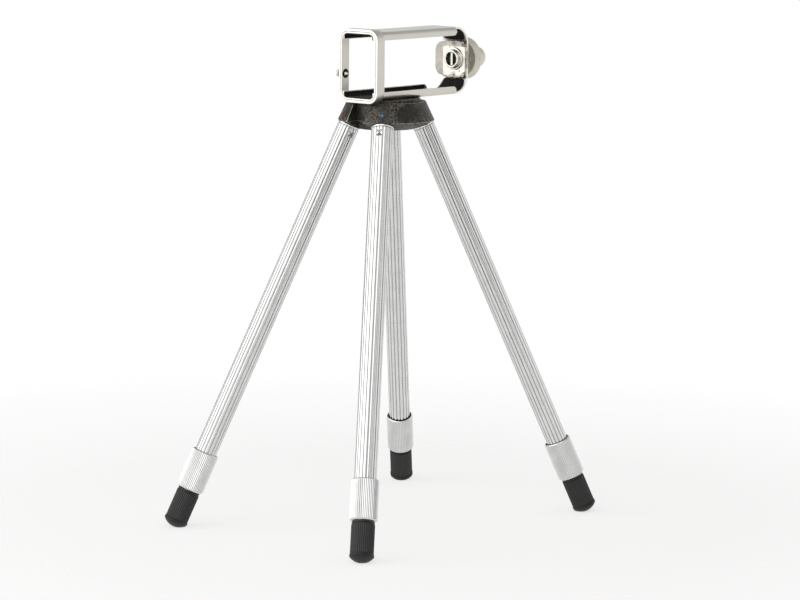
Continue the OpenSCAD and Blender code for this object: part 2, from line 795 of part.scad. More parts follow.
// Turning spindle; its front end has a bar between two pockets.
module lock_spindle() {
    color(plated_steel) translate([0, 0, middle_z]) difference() {
        union() {
            rod_x(spindle_d, bayonet_x, knob_pin_x + knob_pin_d - fixed_fit);
            rod_x(bayonet_d, bayonet_x, dish_x - face_gap);
        }
        for (side = [-1, 1])
            translate([bayonet_x - past, side > 0 ? bayonet_bar / 2 : -bayonet_d - bayonet_bar / 2, -bayonet_d])
                cube([bayonet_pocket + past, bayonet_d, 2 * bayonet_d]);
        translate([knob_pin_x, 0, 0]) rod_y(knob_pin_d + 2 * fixed_fit, -spindle_d, spindle_d);
    }
}

module knob_pin() {
    color(plated_steel) translate([knob_pin_x, 0, middle_z])
        rod_y(knob_pin_d, free_gap - knob_r, knob_r - free_gap);
}

// Threaded boss of the side screw, riveted through the ring.
module side_boss() {
    color(plated_steel) translate([ring_middle_x, 0, side_screw_height]) difference() {
        union() {
            rod_y(side_boss_d, band_side_y + fixed_fit, boss_end_y);
            rod_y(side_neck_d, side_neck_y, boss_end_y);
        }
        rod_y(side_bore_d, side_neck_y - past, boss_end_y + past);
    }
}

// Small knurled screw with a coned tip and a slotted head.
module side_screw() {
    cone_len = side_screw_d / 2;
    color(plated_steel) translate([ring_middle_x, 0, side_screw_height]) difference() {
        union() {
            translate([0, side_tip_y, 0]) rotate([-90, 0, 0])
                cylinder(d1 = side_screw_d / 2, d2 = side_screw_d, h = cone_len);
            rod_y(side_screw_d, side_tip_y + cone_len, side_head_y + face_gap);
            translate([0, side_head_y, 0]) rotate([-90, 0, 0]) linear_extrude(side_head_len)
                polygon(reeded(side_head_d / 2, side_knurl_depth, side_knurl_count));
        }
        translate([-side_slot_w / 2, side_head_y + side_head_len - side_slot_w, -side_head_d])
            cube([side_slot_w, side_slot_w + past, 2 * side_head_d]);
    }
}

// Flanged plug in the top of a leg with the stud that screws into the hub.
module leg_plug(leg) {
    color(bright_aluminium) at_leg(leg) {
        rod(stud_d, -stud_len, face_gap + plug_flange_t);
        rod(plug_flange_d, face_gap, face_gap + plug_flange_t);
        rod(plug_d, face_gap, plug_end_s);
    }
}

// Four-sided punch that marks the crimp on a leg's tube.
module crimp_punch() {
    half = crimp_w / 2 * (1 + past / crimp_depth);
    rotate([0, 90, 0]) polyhedron(
        points = [[0, 0, 0], [half, half, crimp_depth + past], [-half, half, crimp_depth + past],
            [-half, -half, crimp_depth + past], [half, -half, crimp_depth + past]],
        faces = [[0, 1, 2], [0, 2, 3], [0, 3, 4], [0, 4, 1], [4, 3, 2, 1]]
    );
}

// Outer tube with rounded ribs along its length.
module leg_tube(leg) {
    tube_s = face_gap + plug_flange_t + fixed_fit;
    color(bright_aluminium) at_leg(leg) difference() {
        translate([0, 0, tube_s]) linear_extrude(tube_end_s - fixed_fit - tube_s) difference() {
            union() {
                circle(tube_d / 2 - rib_r);
                for (k = [0:rib_count - 1])
                    rotate(360 * k / rib_count) translate([tube_d / 2 - rib_r, 0]) circle(rib_r);
            }
            circle(d = tube_bore_d);
        }
        rotate([0, 0, 180 - crimp_turn[leg]]) translate([tube_d / 2 - crimp_depth, 0, tube_s + crimp_s])
            crimp_punch();
    }
}

// Threaded collet in the lower end of a leg's tube, with slotted fingers.
module collet(leg) {
    color(brass) at_leg(leg) difference() {
        union() {
            rod(plug_d, tube_end_s - collet_neck, tube_end_s + past);
            rod(collet_d, tube_end_s, collet_end_s);
            cone(collet_d - 2 * free_gap, finger_tip_d, collet_end_s, finger_end_s);
        }
        rod(collet_bore_d, tube_end_s - collet_neck - past, finger_end_s + past);
        for (turn = [0, 90]) rotate([0, 0, turn])
            translate([-collet_d, -finger_slot_w / 2, collet_end_s])
                cube([2 * collet_d, finger_slot_w, finger_len + past]);
    }
}

// Reeded twist collar that squeezes the collet.
module collar(leg) {
    outer_d = collar_d + 2 * past;
    bevel = collar_chamfer + past;
    color(bright_aluminium) at_leg(leg) difference() {
        intersection() {
            translate([0, 0, collar_s]) linear_extrude(collar_len)
                polygon(reeded(collar_d / 2, reed_depth, reed_count));
            union() {
                cone(outer_d - 2 * bevel, outer_d, collar_s, collar_s + bevel);
                rod(outer_d, collar_s + bevel, collar_end_s - bevel);
                cone(outer_d, outer_d - 2 * bevel, collar_end_s - bevel, collar_end_s);
            }
        }
        rod(mouth_d, collar_s - past, tube_end_s);
        rod(collar_bore_d, collar_s, collet_end_s + free_gap);
        cone(collar_bore_d, collar_cone_d, collet_end_s + free_gap, finger_end_s + free_gap);
        rod(collar_hole_d, collar_s, collar_end_s + past);
    }
}

// Plain inner tube that slides out with the foot.
module inner_tube(leg) {
    color(bright_aluminium) at_leg(leg) difference() {
        rod(inner_d, guide_s, inner_end_s - fixed_fit);
        rod(inner_d - 2 * inner_wall, guide_s - past, inner_end_s + past);
    }
}

// Guide bush on the upper end of the inner tube.
module guide_bush(leg) {
    color(nylon) at_leg(leg) difference() {
        rod(guide_d, guide_s, guide_end_s);
        rod(guide_bore_d, guide_s - past, guide_end_s + past);
    }
}

// Ribbed black foot barrel with a lip and a groove at its top.
module foot_barrel(leg) {
    color(rubber_black) at_leg(leg) difference() {
        union() {
            rod(lip_d, foot_s, foot_s + lip_t);
            rod(groove_d, foot_s, barrel_end_s);
            translate([0, 0, barrel_s]) linear_extrude(barrel_len)
                polygon(reeded(barrel_d / 2, barrel_rib_depth, barrel_rib_count));
        }
        rod(foot_bore_d, foot_s - past, inner_end_s);
        rod(peg_d + 2 * fixed_fit, barrel_end_s - peg_len - fixed_fit, barrel_end_s + past);
    }
}

// Rounded rubber tip, worn flat where it stands on the ground.
module foot_tip(leg) {
    color(rubber_black) difference() {
        at_leg(leg) {
            rod(peg_d, barrel_end_s - peg_len, barrel_end_s + past);
            intersection() {
                rod(tip_d, barrel_end_s + fixed_fit, tip_end_s);
                translate([0, 0, dome_s]) sphere(tip_dome_r);
            }
        }
        translate([0, 0, -tip_dome_r]) linear_extrude(tip_dome_r) square(4 * tip_end_s, center = true);
    }
}

hub_casting();
lens_window_ring();
socket_inserts();
marker_dot(LEFT, "#b8324a");  // red_dot
marker_dot(FRONT, "#3f78b4");  // blue_dot
marker_dot(RIGHT, "#c9a227");  // yellow_dot
marker_dot(BACK, "#dedbd2");  // white_dot
camera_frame();
frame_screws();
front_band();
bottom_lining();
top_lining();
end_lining(-1);  // lower_end_lining
end_lining(1);  // upper_end_lining
end_dish();
bayonet_disc();
dish_rivets();
lock_bush();
lock_knob();
lock_spindle();
knob_pin();
side_boss();
side_screw();
leg_plug(LEFT);  // left_leg_plug
leg_tube(LEFT);  // left_leg_tube
collet(LEFT);  // left_collet
collar(LEFT);  // left_collar
inner_tube(LEFT);  // left_inner_tube
guide_bush(LEFT);  // left_guide_bush
foot_barrel(LEFT);  // left_foot_barrel
foot_tip(LEFT);  // left_foot_tip
leg_plug(FRONT);  // front_leg_plug
leg_tube(FRONT);  // front_leg_tube
collet(FRONT);  // front_collet
collar(FRONT);  // front_collar
inner_tube(FRONT);  // front_inner_tube
guide_bush(FRONT);  // front_guide_bush
foot_barrel(FRONT);  // front_foot_barrel
foot_tip(FRONT);  // front_foot_tip
leg_plug(RIGHT);  // right_leg_plug
leg_tube(RIGHT);  // right_leg_tube
collet(RIGHT);  // right_collet
collar(RIGHT);  // right_collar
inner_tube(RIGHT);  // right_inner_tube
guide_bush(RIGHT);  // right_guide_bush
foot_barrel(RIGHT);  // right_foot_barrel
foot_tip(RIGHT);  // right_foot_tip
leg_plug(BACK);  // back_leg_plug
leg_tube(BACK);  // back_leg_tube
collet(BACK);  // back_collet
collar(BACK);  // back_collar
inner_tube(BACK);  // back_inner_tube
guide_bush(BACK);  // back_guide_bush
foot_barrel(BACK);  // back_foot_barrel
foot_tip(BACK);  // back_foot_tip
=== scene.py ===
import math

import bmesh
import bpy
import numpy as np
from mathutils import Matrix, Vector


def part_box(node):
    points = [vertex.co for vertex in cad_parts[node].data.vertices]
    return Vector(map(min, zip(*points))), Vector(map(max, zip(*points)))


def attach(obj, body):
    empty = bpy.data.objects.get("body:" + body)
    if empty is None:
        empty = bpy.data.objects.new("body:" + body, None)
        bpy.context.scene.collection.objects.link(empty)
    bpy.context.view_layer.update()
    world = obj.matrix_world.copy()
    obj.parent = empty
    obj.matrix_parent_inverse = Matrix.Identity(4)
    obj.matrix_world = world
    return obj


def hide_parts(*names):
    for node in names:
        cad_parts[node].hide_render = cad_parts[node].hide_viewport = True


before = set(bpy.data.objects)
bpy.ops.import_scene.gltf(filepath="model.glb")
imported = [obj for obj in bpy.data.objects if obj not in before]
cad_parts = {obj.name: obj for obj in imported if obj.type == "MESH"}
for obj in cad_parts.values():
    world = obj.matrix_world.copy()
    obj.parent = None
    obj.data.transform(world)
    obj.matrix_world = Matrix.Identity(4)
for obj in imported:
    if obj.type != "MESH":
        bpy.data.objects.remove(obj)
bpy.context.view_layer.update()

# Hub: the round body that carries the camera frame and the four legs.
# An aluminium casting, turned at its rim, with a notch milled in its front.
# Sprayed with black crinkle enamel, which has worn through along its edges.
MM = 0.001
hub_low, hub_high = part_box("hub_casting")
flat_z = hub_low.z / MM
frame_z = hub_high.z / MM
hub_rim_r = 22.0
hub_top_r = 17.9
hub_flat_r = 13.3
hub_cone_h = 8.7
boss_r = 15.5
boss_h = 1.1
passage_r = 6.4
window_recess_r = 7.25
window_recess_h = 1.7
notch_half_w = 4.7
notch_x = 15.0
relief_x = 14.4
relief_depth = 1.2
top_z = frame_z - boss_h
rim_z = top_z - hub_cone_h
socket_r = 17.1
leg_azimuth = 35.7
leg_splay = math.radians(23.85)
spot_depth = 0.3
spot_d = 10.8
socket_d = 7.1
socket_len = 6.5
seat_z = flat_z + (socket_r - hub_flat_r) * math.tan(leg_splay) + spot_depth / math.cos(leg_splay)
LEGS = {"left": 180 - leg_azimuth, "front": 180 + leg_azimuth, "right": -leg_azimuth, "back": leg_azimuth}


def linear(code):
    """Turns an sRGB hex colour into linear red, green and blue, with a full alpha."""
    srgb = np.array([int(code[i:i + 2], 16) for i in (1, 3, 5)]) / 255
    value = np.where(srgb <= 0.04045, srgb / 12.92, ((srgb + 0.055) / 1.055) ** 2.4)
    return (*value.tolist(), 1.0)


def feed(tree, node, inputs):
    """Gives each named input of a node a value or a link."""
    for name, value in inputs.items():
        if isinstance(value, bpy.types.NodeSocket):
            tree.links.new(value, node.inputs[name])
        else:
            node.inputs[name].default_value = value


def add(tree, kind, inputs, **settings):
    """Adds a node, sets its properties and feeds its inputs."""
    node = tree.nodes.new(kind)
    for name, value in settings.items():
        setattr(node, name, value)
    feed(tree, node, inputs)
    return node


def start_material(name):
    """Starts a material and gives it back with its tree, its shader and its Object coordinates."""
    material = bpy.data.materials.new(name)
    material.use_nodes = True
    tree = material.node_tree
    here = add(tree, "ShaderNodeTexCoord", {}).outputs["Object"]
    return material, tree, tree.nodes["Principled BSDF"], here


def mix(tree, factor, low, high):
    """Mixes two colours, each a hex code or an output, by a factor."""
    low, high = (linear(c) if isinstance(c, str) else c for c in (low, high))
    return add(tree, "ShaderNodeMix", {"Factor": factor, 6: low, 7: high}, data_type="RGBA").outputs[2]


def spread(tree, value, low, high, start=0.0, end=1.0):
    """Carries a value's range from start to end over to low to high."""
    return add(tree, "ShaderNodeMapRange", {"Value": value, "From Min": start, "From Max": end,
                                            "To Min": low, "To Max": high}).outputs["Result"]


def product(tree, first, second):
    """Multiplies two values."""
    return add(tree, "ShaderNodeMath", {0: first, 1: second}, operation="MULTIPLY").outputs[0]


def noise(tree, here, size_mm, detail):
    """Cloudy noise with patches of about the given size."""
    inputs = {"Vector": here, "Scale": 1 / (size_mm * MM), "Detail": detail}
    return add(tree, "ShaderNodeTexNoise", inputs).outputs["Fac"]


def pebbles(tree, here, size_mm):
    """Distance from the middles of rounded cells of about the given size."""
    inputs = {"Vector": here, "Scale": 1 / (size_mm * MM)}
    return add(tree, "ShaderNodeTexVoronoi", inputs, feature="SMOOTH_F1").outputs["Distance"]


def relief(tree, height, strength, depth_mm, invert=False):
    """Normal of a skin that rises and falls with a height, by the given depth."""
    inputs = {"Height": height, "Strength": strength, "Distance": depth_mm * MM}
    return add(tree, "ShaderNodeBump", inputs, invert=invert).outputs["Normal"]


def read_mark(tree, name, output="Fac"):
    """Value that a piece's points carry under the given name."""
    return add(tree, "ShaderNodeAttribute", {}, attribute_name=name).outputs[output]


def rounded(corners, radii, steps=6):
    """Closed outline with straight sides and round corners: each corner is an arc that meets both sides."""
    corners = np.asarray(corners, float)
    radii = np.broadcast_to(np.asarray(radii, float), len(corners))
    back = np.roll(corners, 1, axis=0) - corners
    ahead = np.roll(corners, -1, axis=0) - corners
    back /= np.linalg.norm(back, axis=1, keepdims=True)
    ahead /= np.linalg.norm(ahead, axis=1, keepdims=True)
    half = np.arccos(np.clip((back * ahead).sum(axis=1), -1, 1)) / 2
    inward = (back + ahead) / np.linalg.norm(back + ahead, axis=1, keepdims=True)
    centre = corners + inward * (radii / np.sin(half))[:, None]
    reach = (radii / np.tan(half))[:, None]
    first, last = corners + back * reach - centre, corners + ahead * reach - centre
    sweep = (np.pi - 2 * half)[:, None, None]
    t = np.linspace(0, 1, steps + 1)[None, :, None]
    arc = (np.sin((1 - t) * sweep) * first[:, None] + np.sin(t * sweep) * last[:, None]) / np.sin(sweep)
    return (centre[:, None] + arc).reshape(-1, 2)


def grid_faces(first, rows, columns, wrap_rows, wrap_columns):
    """Quads between neighbouring points of a grid whose first point has the given number."""
    index = first + np.arange(rows * columns).reshape(rows, columns)
    loop = np.vstack([index, index[:1]]) if wrap_rows else index
    loop = np.hstack([loop, loop[:, :1]]) if wrap_columns else loop
    quads = np.stack([loop[:-1, :-1], loop[:-1, 1:], loop[1:, 1:], loop[1:, :-1]], axis=-1)
    return quads.reshape(-1, 4).tolist()


def surface(name, patches, wrap_rows=True, wrap_columns=True, sharp=35, marks=None):
    """Joins each grid of points in mm (rows, columns, xyz) with quads and makes one mesh of the grids.
    Wrapped sides close on themselves, points that coincide are merged, and a closed skin faces outwards."""
    faces, count = [], 0
    for patch in patches:
        rows, columns = patch.shape[:2]
        faces += grid_faces(count, rows, columns, wrap_rows, wrap_columns)
        count += rows * columns
    mesh = bpy.data.meshes.new(name)
    mesh.from_pydata((np.concatenate([p.reshape(-1, 3) for p in patches]) * MM).tolist(), [], faces)
    for mark, values in (marks or {}).items():
        kind, field = ("FLOAT_VECTOR", "vector") if values.ndim == 3 else ("FLOAT", "value")
        mesh.attributes.new(mark, kind, "POINT").data.foreach_set(field, values.astype(np.float32).ravel())
    work = bmesh.new()
    work.from_mesh(mesh)
    bmesh.ops.remove_doubles(work, verts=work.verts, dist=2e-6)
    bmesh.ops.dissolve_degenerate(work, edges=work.edges, dist=1e-6)
    if wrap_rows:
        bmesh.ops.recalc_face_normals(work, faces=work.faces)
    work.to_mesh(mesh)
    work.free()
    mesh.shade_smooth()
    mesh.set_sharp_from_angle(angle=math.radians(sharp))
    piece = bpy.data.objects.new(name, mesh)
    bpy.context.scene.collection.objects.link(piece)
    return piece


def turn(outline, columns=96):
    """Outline of radius and height carried round the local z axis, at equal angles."""
    angle = np.linspace(0, 2 * np.pi, columns, endpoint=False)
    r, h = outline[:, :1], outline[:, 1:]
    return np.stack([r * np.cos(angle), r * np.sin(angle), h * np.ones_like(angle)], axis=-1)


def place(points, basis, origin):
    """Local points carried to an origin, along the three directions of a basis."""
    return points @ np.asarray(basis, float) + np.asarray(origin, float)


def leg_basis(azimuth):
    """Directions of a leg's own x, y and z axes; z runs down the leg, which leans out by the splay."""
    a, s = math.radians(azimuth), leg_splay
    return [(-math.cos(s) * math.cos(a), -math.cos(s) * math.sin(a), -math.sin(s)),
            (-math.sin(a), math.cos(a), 0),
            (math.sin(s) * math.cos(a), math.sin(s) * math.sin(a), -math.cos(s))]


def on_leg(points, azimuth):
    """Leg points, in mm from the leg's seat on the hub, carried to that leg."""
    a = math.radians(azimuth)
    return place(points, leg_basis(azimuth), (socket_r * math.cos(a), socket_r * math.sin(a), seat_z))


def rod(d, start, end, columns=64):
    """Plain rod along the local z axis."""
    return turn(np.array([(0, start), (d / 2, start), (d / 2, end), (0, end)]), columns)


def cut(piece, tools, sharp=35):
    """Cuts the closed tools, grids of points in mm, out of a piece whose modifiers are then baked in."""
    tool = surface("tool", tools)
    modifier = piece.modifiers.new("cut", "BOOLEAN")
    modifier.operation, modifier.solver, modifier.object = "DIFFERENCE", "EXACT", tool
    view = bpy.context.evaluated_depsgraph_get()
    mesh = bpy.data.meshes.new_from_object(piece.evaluated_get(view), depsgraph=view)
    piece.modifiers.clear()
    piece.data = mesh
    mesh.name = piece.name
    mesh.set_sharp_from_angle(angle=math.radians(sharp))
    bpy.data.objects.remove(tool)


def finish_piece(piece, material, body, slot, *nodes):
    """Gives a piece its material and the body that it rides on, and hides the nodes that it stands for; the
    slot is not used.
    """
    piece.data.materials.clear()
    piece.data.materials.append(material)
    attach(piece, body)
    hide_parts(*nodes)


def hub_surface():
    """Outline turned round the axis. Round each circle the lines run over the notch's floor, out along its
    wall, round the lowered front and round the rest, so that one lies on each edge of notch and step."""
    corners = [(passage_r, flat_z + window_recess_h), (window_recess_r, flat_z + window_recess_h),
               (window_recess_r, flat_z), (hub_flat_r, flat_z), (hub_rim_r, rim_z), (hub_top_r, top_z),
               (boss_r, top_z), (boss_r, frame_z), (passage_r, frame_z)]
    flat_round, rim_round, top_round, fine_round, steps = 0.8, 0.3, 0.45, 0.1, 6
    left_lip, right_lip, least_lip, painted_columns = 2.0, 0.4, 0.1, 3
    outline = rounded(corners, [0, 0, fine_round, flat_round, rim_round, top_round, 0, 0, fine_round], steps)
    rim_corner, top_corner, boss_end = 4, 5, 8 * (steps + 1)
    arc = np.sin(np.linspace(0, np.pi, steps + 1))
    bent = [np.outer(np.arange(len(corners)) == corner, arc).ravel() for corner in (rim_corner, top_corner)]
    outline = np.insert(outline, boss_end, [(relief_x + MM, frame_z), (relief_x, frame_z)], axis=0)
    rim_bent, top_bent = (np.insert(mark, boss_end, [0, 0])[:, None] for mark in bent)
    r, z = outline[:, :1], outline[:, 1:]
    low_z = np.where(r > relief_x, np.minimum(z, top_z - relief_depth), z)
    notch_angle = np.arcsin(notch_half_w / r)
    step_angle = np.maximum(notch_angle, np.arccos(relief_x / np.maximum(r, relief_x)))
    floor, wall = np.linspace(0, 1, 5), np.array([0, 0.5, 0.93, 1])
    front, rest = np.array([0, 0.08, 0.35, 0.7, 1]), np.linspace(0, 1, 90)
    floor_y = notch_half_w * floor * np.ones_like(r)
    floor_x = -np.minimum(notch_x, np.sqrt(r ** 2 - floor_y ** 2))
    edge_x = -np.sqrt(r ** 2 - notch_half_w ** 2)
    deep_x = np.maximum(edge_x, -notch_x)
    wall_x = deep_x + (edge_x - deep_x) * wall
    front_a = np.pi - notch_angle - (step_angle - notch_angle) * front
    rest_a = (np.pi - step_angle) * (1 - rest)
    x = np.hstack([floor_x, wall_x, r * np.cos(front_a), r * np.cos(rest_a)])
    y = np.hstack([floor_y, notch_half_w * np.ones_like(wall_x), r * np.sin(front_a), r * np.sin(rest_a)])
    low_count = len(floor) + len(wall) + len(front)
    heights = np.hstack([low_z * np.ones(low_count), z * np.ones(len(rest))])
    half = np.stack([x, y, heights], axis=-1)
    column, lip_column = np.arange(x.shape[1]), len(floor) + len(wall)
    lip = np.isin(column, (lip_column - 1, lip_column)) * (edge_x < -notch_x - least_lip)
    worn = np.maximum(rim_bent, top_bent * (column >= low_count + painted_columns))
    left, right = np.maximum(worn, left_lip * lip), np.maximum(worn, right_lip * lip)
    return np.concatenate([half, half[:, ::-1] * (1, -1, 1)], axis=1), np.hstack([left, right[:, ::-1]])


def crinkle_enamel():
    """Crinkle stove enamel on cast aluminium: a dull black skin of fine wrinkles, their crests painted paler
    as a painted highlight that shows as specks, greyer in patches where the crests are rubbed, and worn
    through to grey metal along the edges.
    Wrinkles are about 0.7 mm across and patches about 8 mm."""
    wrinkle, wrinkle_depth, rub, patch = 0.7, 0.12, 1.4, 8
    material, tree, shader, here = start_material("crinkle_enamel_black")
    cells = pebbles(tree, here, wrinkle)
    patches = noise(tree, here, patch, 2.0)
    bare = product(tree, read_mark(tree, "worn"), noise(tree, here, rub, 4.0))
    edge = spread(tree, bare, 0.0, 1.0, 0.3, 0.52)
    # Painted highlight: the crests, at the middles of the cells, are paler than the dark between them; rubbed
    # patches make them greyer still.
    crest_highlight = mix(tree, spread(tree, patches, 0.0, 1.0, 0.42, 0.6), "#3a3630", "#736d62")
    skin = mix(tree, spread(tree, cells, 0.0, 1.0, 0.1, 0.6), crest_highlight, "#1d1a17")
    feed(tree, shader, {"Base Color": mix(tree, edge, skin, "#b4b1a9"), "Metallic": edge,
                        "Specular IOR Level": 0.3, "Roughness": spread(tree, patches, 0.34, 0.56),
                        "Normal": relief(tree, cells, 0.8, wrinkle_depth, invert=True)})
    return material


spot_clear, socket_clear, hub_sharp = 2, 1, 28
hub_points, hub_worn = hub_surface()
hub = surface("hub", [hub_points], sharp=hub_sharp, marks={"worn": hub_worn})
cut(hub, [on_leg(rod(spot_d, 0, spot_clear), azimuth) for azimuth in LEGS.values()], hub_sharp)
socket = rod(socket_d, -socket_len, socket_clear)
cut(hub, [on_leg(socket, azimuth) for azimuth in LEGS.values()], hub_sharp)
finish_piece(hub, crinkle_enamel(), "head", "crinkle_paint", "hub_casting")

# Lens window ring and socket inserts: small turned parts let into the hub.
# Aluminium bar stock, faced in a lathe, pressed into the casting.
# The ring frames the square lens window; the inserts are tapped for the legs' studs.


def streaks(tree, here, lengths):
    """Noise drawn out to the given lengths in mm along x, y and z, as tool marks are."""
    scale = tuple(1 / (length * MM) for length in lengths)
    drawn = add(tree, "ShaderNodeMapping", {"Vector": here, "Scale": scale}).outputs["Vector"]
    return add(tree, "ShaderNodeTexNoise", {"Vector": drawn, "Scale": 1.0, "Detail": 3.0}).outputs["Fac"]


def turned_metal(name, light, dark, rough, lengths):
    """Bare metal off the lathe: bright, with fine tool marks that break up its reflections.
    The marks are drawn about 0.2 mm wide, coarser than the real ones, so that they show."""
    material, tree, shader, here = start_material(name)
    marks = streaks(tree, here, lengths)
    uneven, mark_depth = 0.06, 0.006
    feed(tree, shader, {"Metallic": 1.0, "Base Color": mix(tree, marks, dark, light),
                        "Roughness": spread(tree, marks, rough - uneven, rough + uneven),
                        "Normal": relief(tree, marks, 0.5, mark_depth)})
    return material


def dress(material, *nodes):
    """Gives CAD nodes that keep their own shape a material."""
    for node in nodes:
        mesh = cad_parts[node].data
        mesh.materials.clear()
        mesh.materials.append(material)


turned_aluminium = turned_metal("turned_aluminium", "#dedbd3", "#c2beb4", 0.27, (6, 6, 0.2))
dress(turned_aluminium, "lens_window_ring", "socket_inserts")

# Marker dots: spots of stove enamel that tell which leg goes in which socket.
# A drop of glossy paint in a shallow drilled hole, standing a little proud.
# Red and blue face the front; yellow and white are round the back.
dot_r, dot_depth, dot_proud, dot_rim, dot_height = 0.75, 0.47, 0.12, 0.01, 0.42
hub_lean = math.atan((hub_rim_r - hub_top_r) / hub_cone_h)


def dot_surface(azimuth):
    """A drop turned round its own axis: a straight side, then a crown that falls as radius squared."""
    r = np.linspace(dot_r, 0, 8)
    crown = np.stack([r, dot_proud * (1 - (r / dot_r) ** 2) + dot_rim], axis=1)
    outline = np.vstack([[(0, -dot_depth), (dot_r, -dot_depth)], crown])
    a, lean = math.radians(azimuth), hub_lean
    out = (math.cos(lean) * math.cos(a), math.cos(lean) * math.sin(a), math.sin(lean))
    up = (-math.sin(lean) * math.cos(a), -math.sin(lean) * math.sin(a), math.cos(lean))
    r = hub_rim_r + (hub_top_r - hub_rim_r) * dot_height
    origin = (r * math.cos(a), r * math.sin(a), rim_z + hub_cone_h * dot_height)
    return place(turn(outline, 32), [(-math.sin(a), math.cos(a), 0), up, out], origin)


def dot_enamel(name, code, shade):
    """Stove enamel: an even, glossy colour, a little darker in patches about 0.4 mm across."""
    material, tree, shader, here = start_material(name)
    patches = noise(tree, here, 0.4, 2.0)
    feed(tree, shader, {"Base Color": mix(tree, patches, shade, code), "Coat Weight": 0.6,
                        "Coat Roughness": 0.08, "Roughness": spread(tree, patches, 0.25, 0.4)})
    return material


DOTS = {"left": ("red", "#c23a52", "#a82c44"), "front": ("blue", "#2d6098", "#244f80"),
        "right": ("yellow", "#cfa82c", "#b48f20"), "back": ("white", "#e3e0d8", "#cdc9be")}
for leg, (paint, code, shade) in DOTS.items():
    dot = surface(f"{paint}_marker_dot", [dot_surface(LEGS[leg])])
    enamel = dot_enamel(f"stove_enamel_{paint}", code, shade)
    finish_piece(dot, enamel, "head", f"{paint}_enamel", f"{paint}_dot")

# Camera frame: one strip of sheet, folded into C-shaped rails and bent round at the far end.
# Satin aluminium 0.9 mm thick, cut out, folded and bent, with its cut edges rubbed smooth.
# Two countersunk screws hold its lower rail to the hub, beside the lens passage.
sheet_t, frame_w, frame_h = 0.9, 18.9, 30.8
sleeve_w, sleeve_corner_r = 20.9, 4.1
rail_corner_r, flange_h, flange_end_r = 2.2, 3.7, 2.2
ring_x, ring_depth, rail_end_x, end_x, bend_r = -19.7, 5.0, 38.3, 49.0, 8.4
web_half = frame_w / 2 - rail_corner_r
ring_end_x = ring_x + ring_depth
middle_z = frame_z + frame_h / 2
frame_set_back, sleeve_clear, frame_edge = 0.35, 0.4, 0.2
frame_screw_x, frame_screw_head_d = 10.6, 3.66
bush_neck_d = 5.96
ALONG_X = [(0, 1, 0), (0, 0, 1), (1, 0, 0)]
ALONG_Y = [(0, 0, 1), (1, 0, 0), (0, 1, 0)]
ALONG_Z = np.eye(3)
cut_edge = 0.25
web = np.linspace(cut_edge - web_half, web_half - cut_edge, 15)
web = np.concatenate([[-web_half], web, [web_half]])


def rail_surface():
    """Outside of the lower rail: a flat web, a quarter round and a flange, carried along x.
    The flange's free corner is a quarter circle, so its height drops along the last stretch.
    Inside the ring the corners are held within the sleeve's round corners."""
    full_x, drop_x = ring_end_x + sleeve_clear, rail_end_x - flange_end_r
    end = drop_x + flange_end_r * np.sin(np.linspace(0, np.pi / 2, 9))
    straight = np.linspace(full_x, drop_x, 11)[:-1]
    x = np.concatenate([[ring_x + frame_set_back, ring_end_x], straight, end])[:, None]
    drop = np.clip(x - drop_x, 0, None)
    height = flange_h - flange_end_r + np.sqrt(np.maximum(flange_end_r ** 2 - drop ** 2, 0))
    quarter = rail_corner_r * np.pi / 2
    length = np.where(height > rail_corner_r, quarter + height - rail_corner_r,
                      rail_corner_r * np.arccos(1 - np.minimum(height, rail_corner_r) / rail_corner_r))
    along = np.concatenate([np.linspace(0, 0.7, 9)[1:], [0.8, 0.9, 1.0]]) * length
    turned = np.minimum(along, quarter) / rail_corner_r
    y = web_half + rail_corner_r * np.sin(turned)
    z = rail_corner_r * (1 - np.cos(turned)) + np.maximum(along - quarter, 0)
    y = np.hstack([-y[:, ::-1], web * np.ones_like(x), y])
    z = np.hstack([z[:, ::-1], 0 * web * x, z])
    past_flat = np.clip(np.abs(y) - (sleeve_w / 2 - sleeve_corner_r), 0, None)
    sleeve_z = sleeve_corner_r - np.sqrt(sleeve_corner_r ** 2 - past_flat ** 2)
    z = np.where(x < full_x, np.maximum(z, sleeve_z), z)
    return np.stack([x * np.ones_like(y), y, frame_z + z], axis=-1)


def strap_surface():
    """Outside of the strap: lines across y, carried along a path that bends twice by a quarter circle."""
    angle = np.linspace(0, np.pi / 2, 13)
    low = np.stack([end_x - bend_r + bend_r * np.sin(angle), bend_r * (1 - np.cos(angle))], axis=1)
    path = np.vstack([[(rail_end_x, 0)], low, low[::-1] * (1, -1) + (0, frame_h), [(rail_end_x, frame_h)]])
    x, z = path[:, :1] * np.ones_like(web), frame_z + path[:, 1:] * np.ones_like(web)
    return np.stack([x, web * np.ones_like(x), z], axis=-1)


def strip_edge_highlight(rail, strap):
    """One along the strap's cut edges, nothing elsewhere: where the strap's painted highlight lies."""
    edge = (np.abs(web) == web_half) * np.ones(strap.shape[:2])
    bare = np.zeros(rail.size // 3)
    return np.concatenate([bare, edge.ravel(), bare])


def thicken(piece, thickness, edge, offset=-1.0):
    """Gives a sheet its thickness and rubs its cut edges round."""
    wall = piece.modifiers.new("thickness", "SOLIDIFY")
    wall.thickness, wall.offset, wall.use_even_offset = thickness * MM, offset, True
    rub = piece.modifiers.new("rubbed_edges", "BEVEL")
    rub.width, rub.segments, rub.limit_method = edge * MM, 3, "ANGLE"
    rub.angle_limit = math.radians(50)


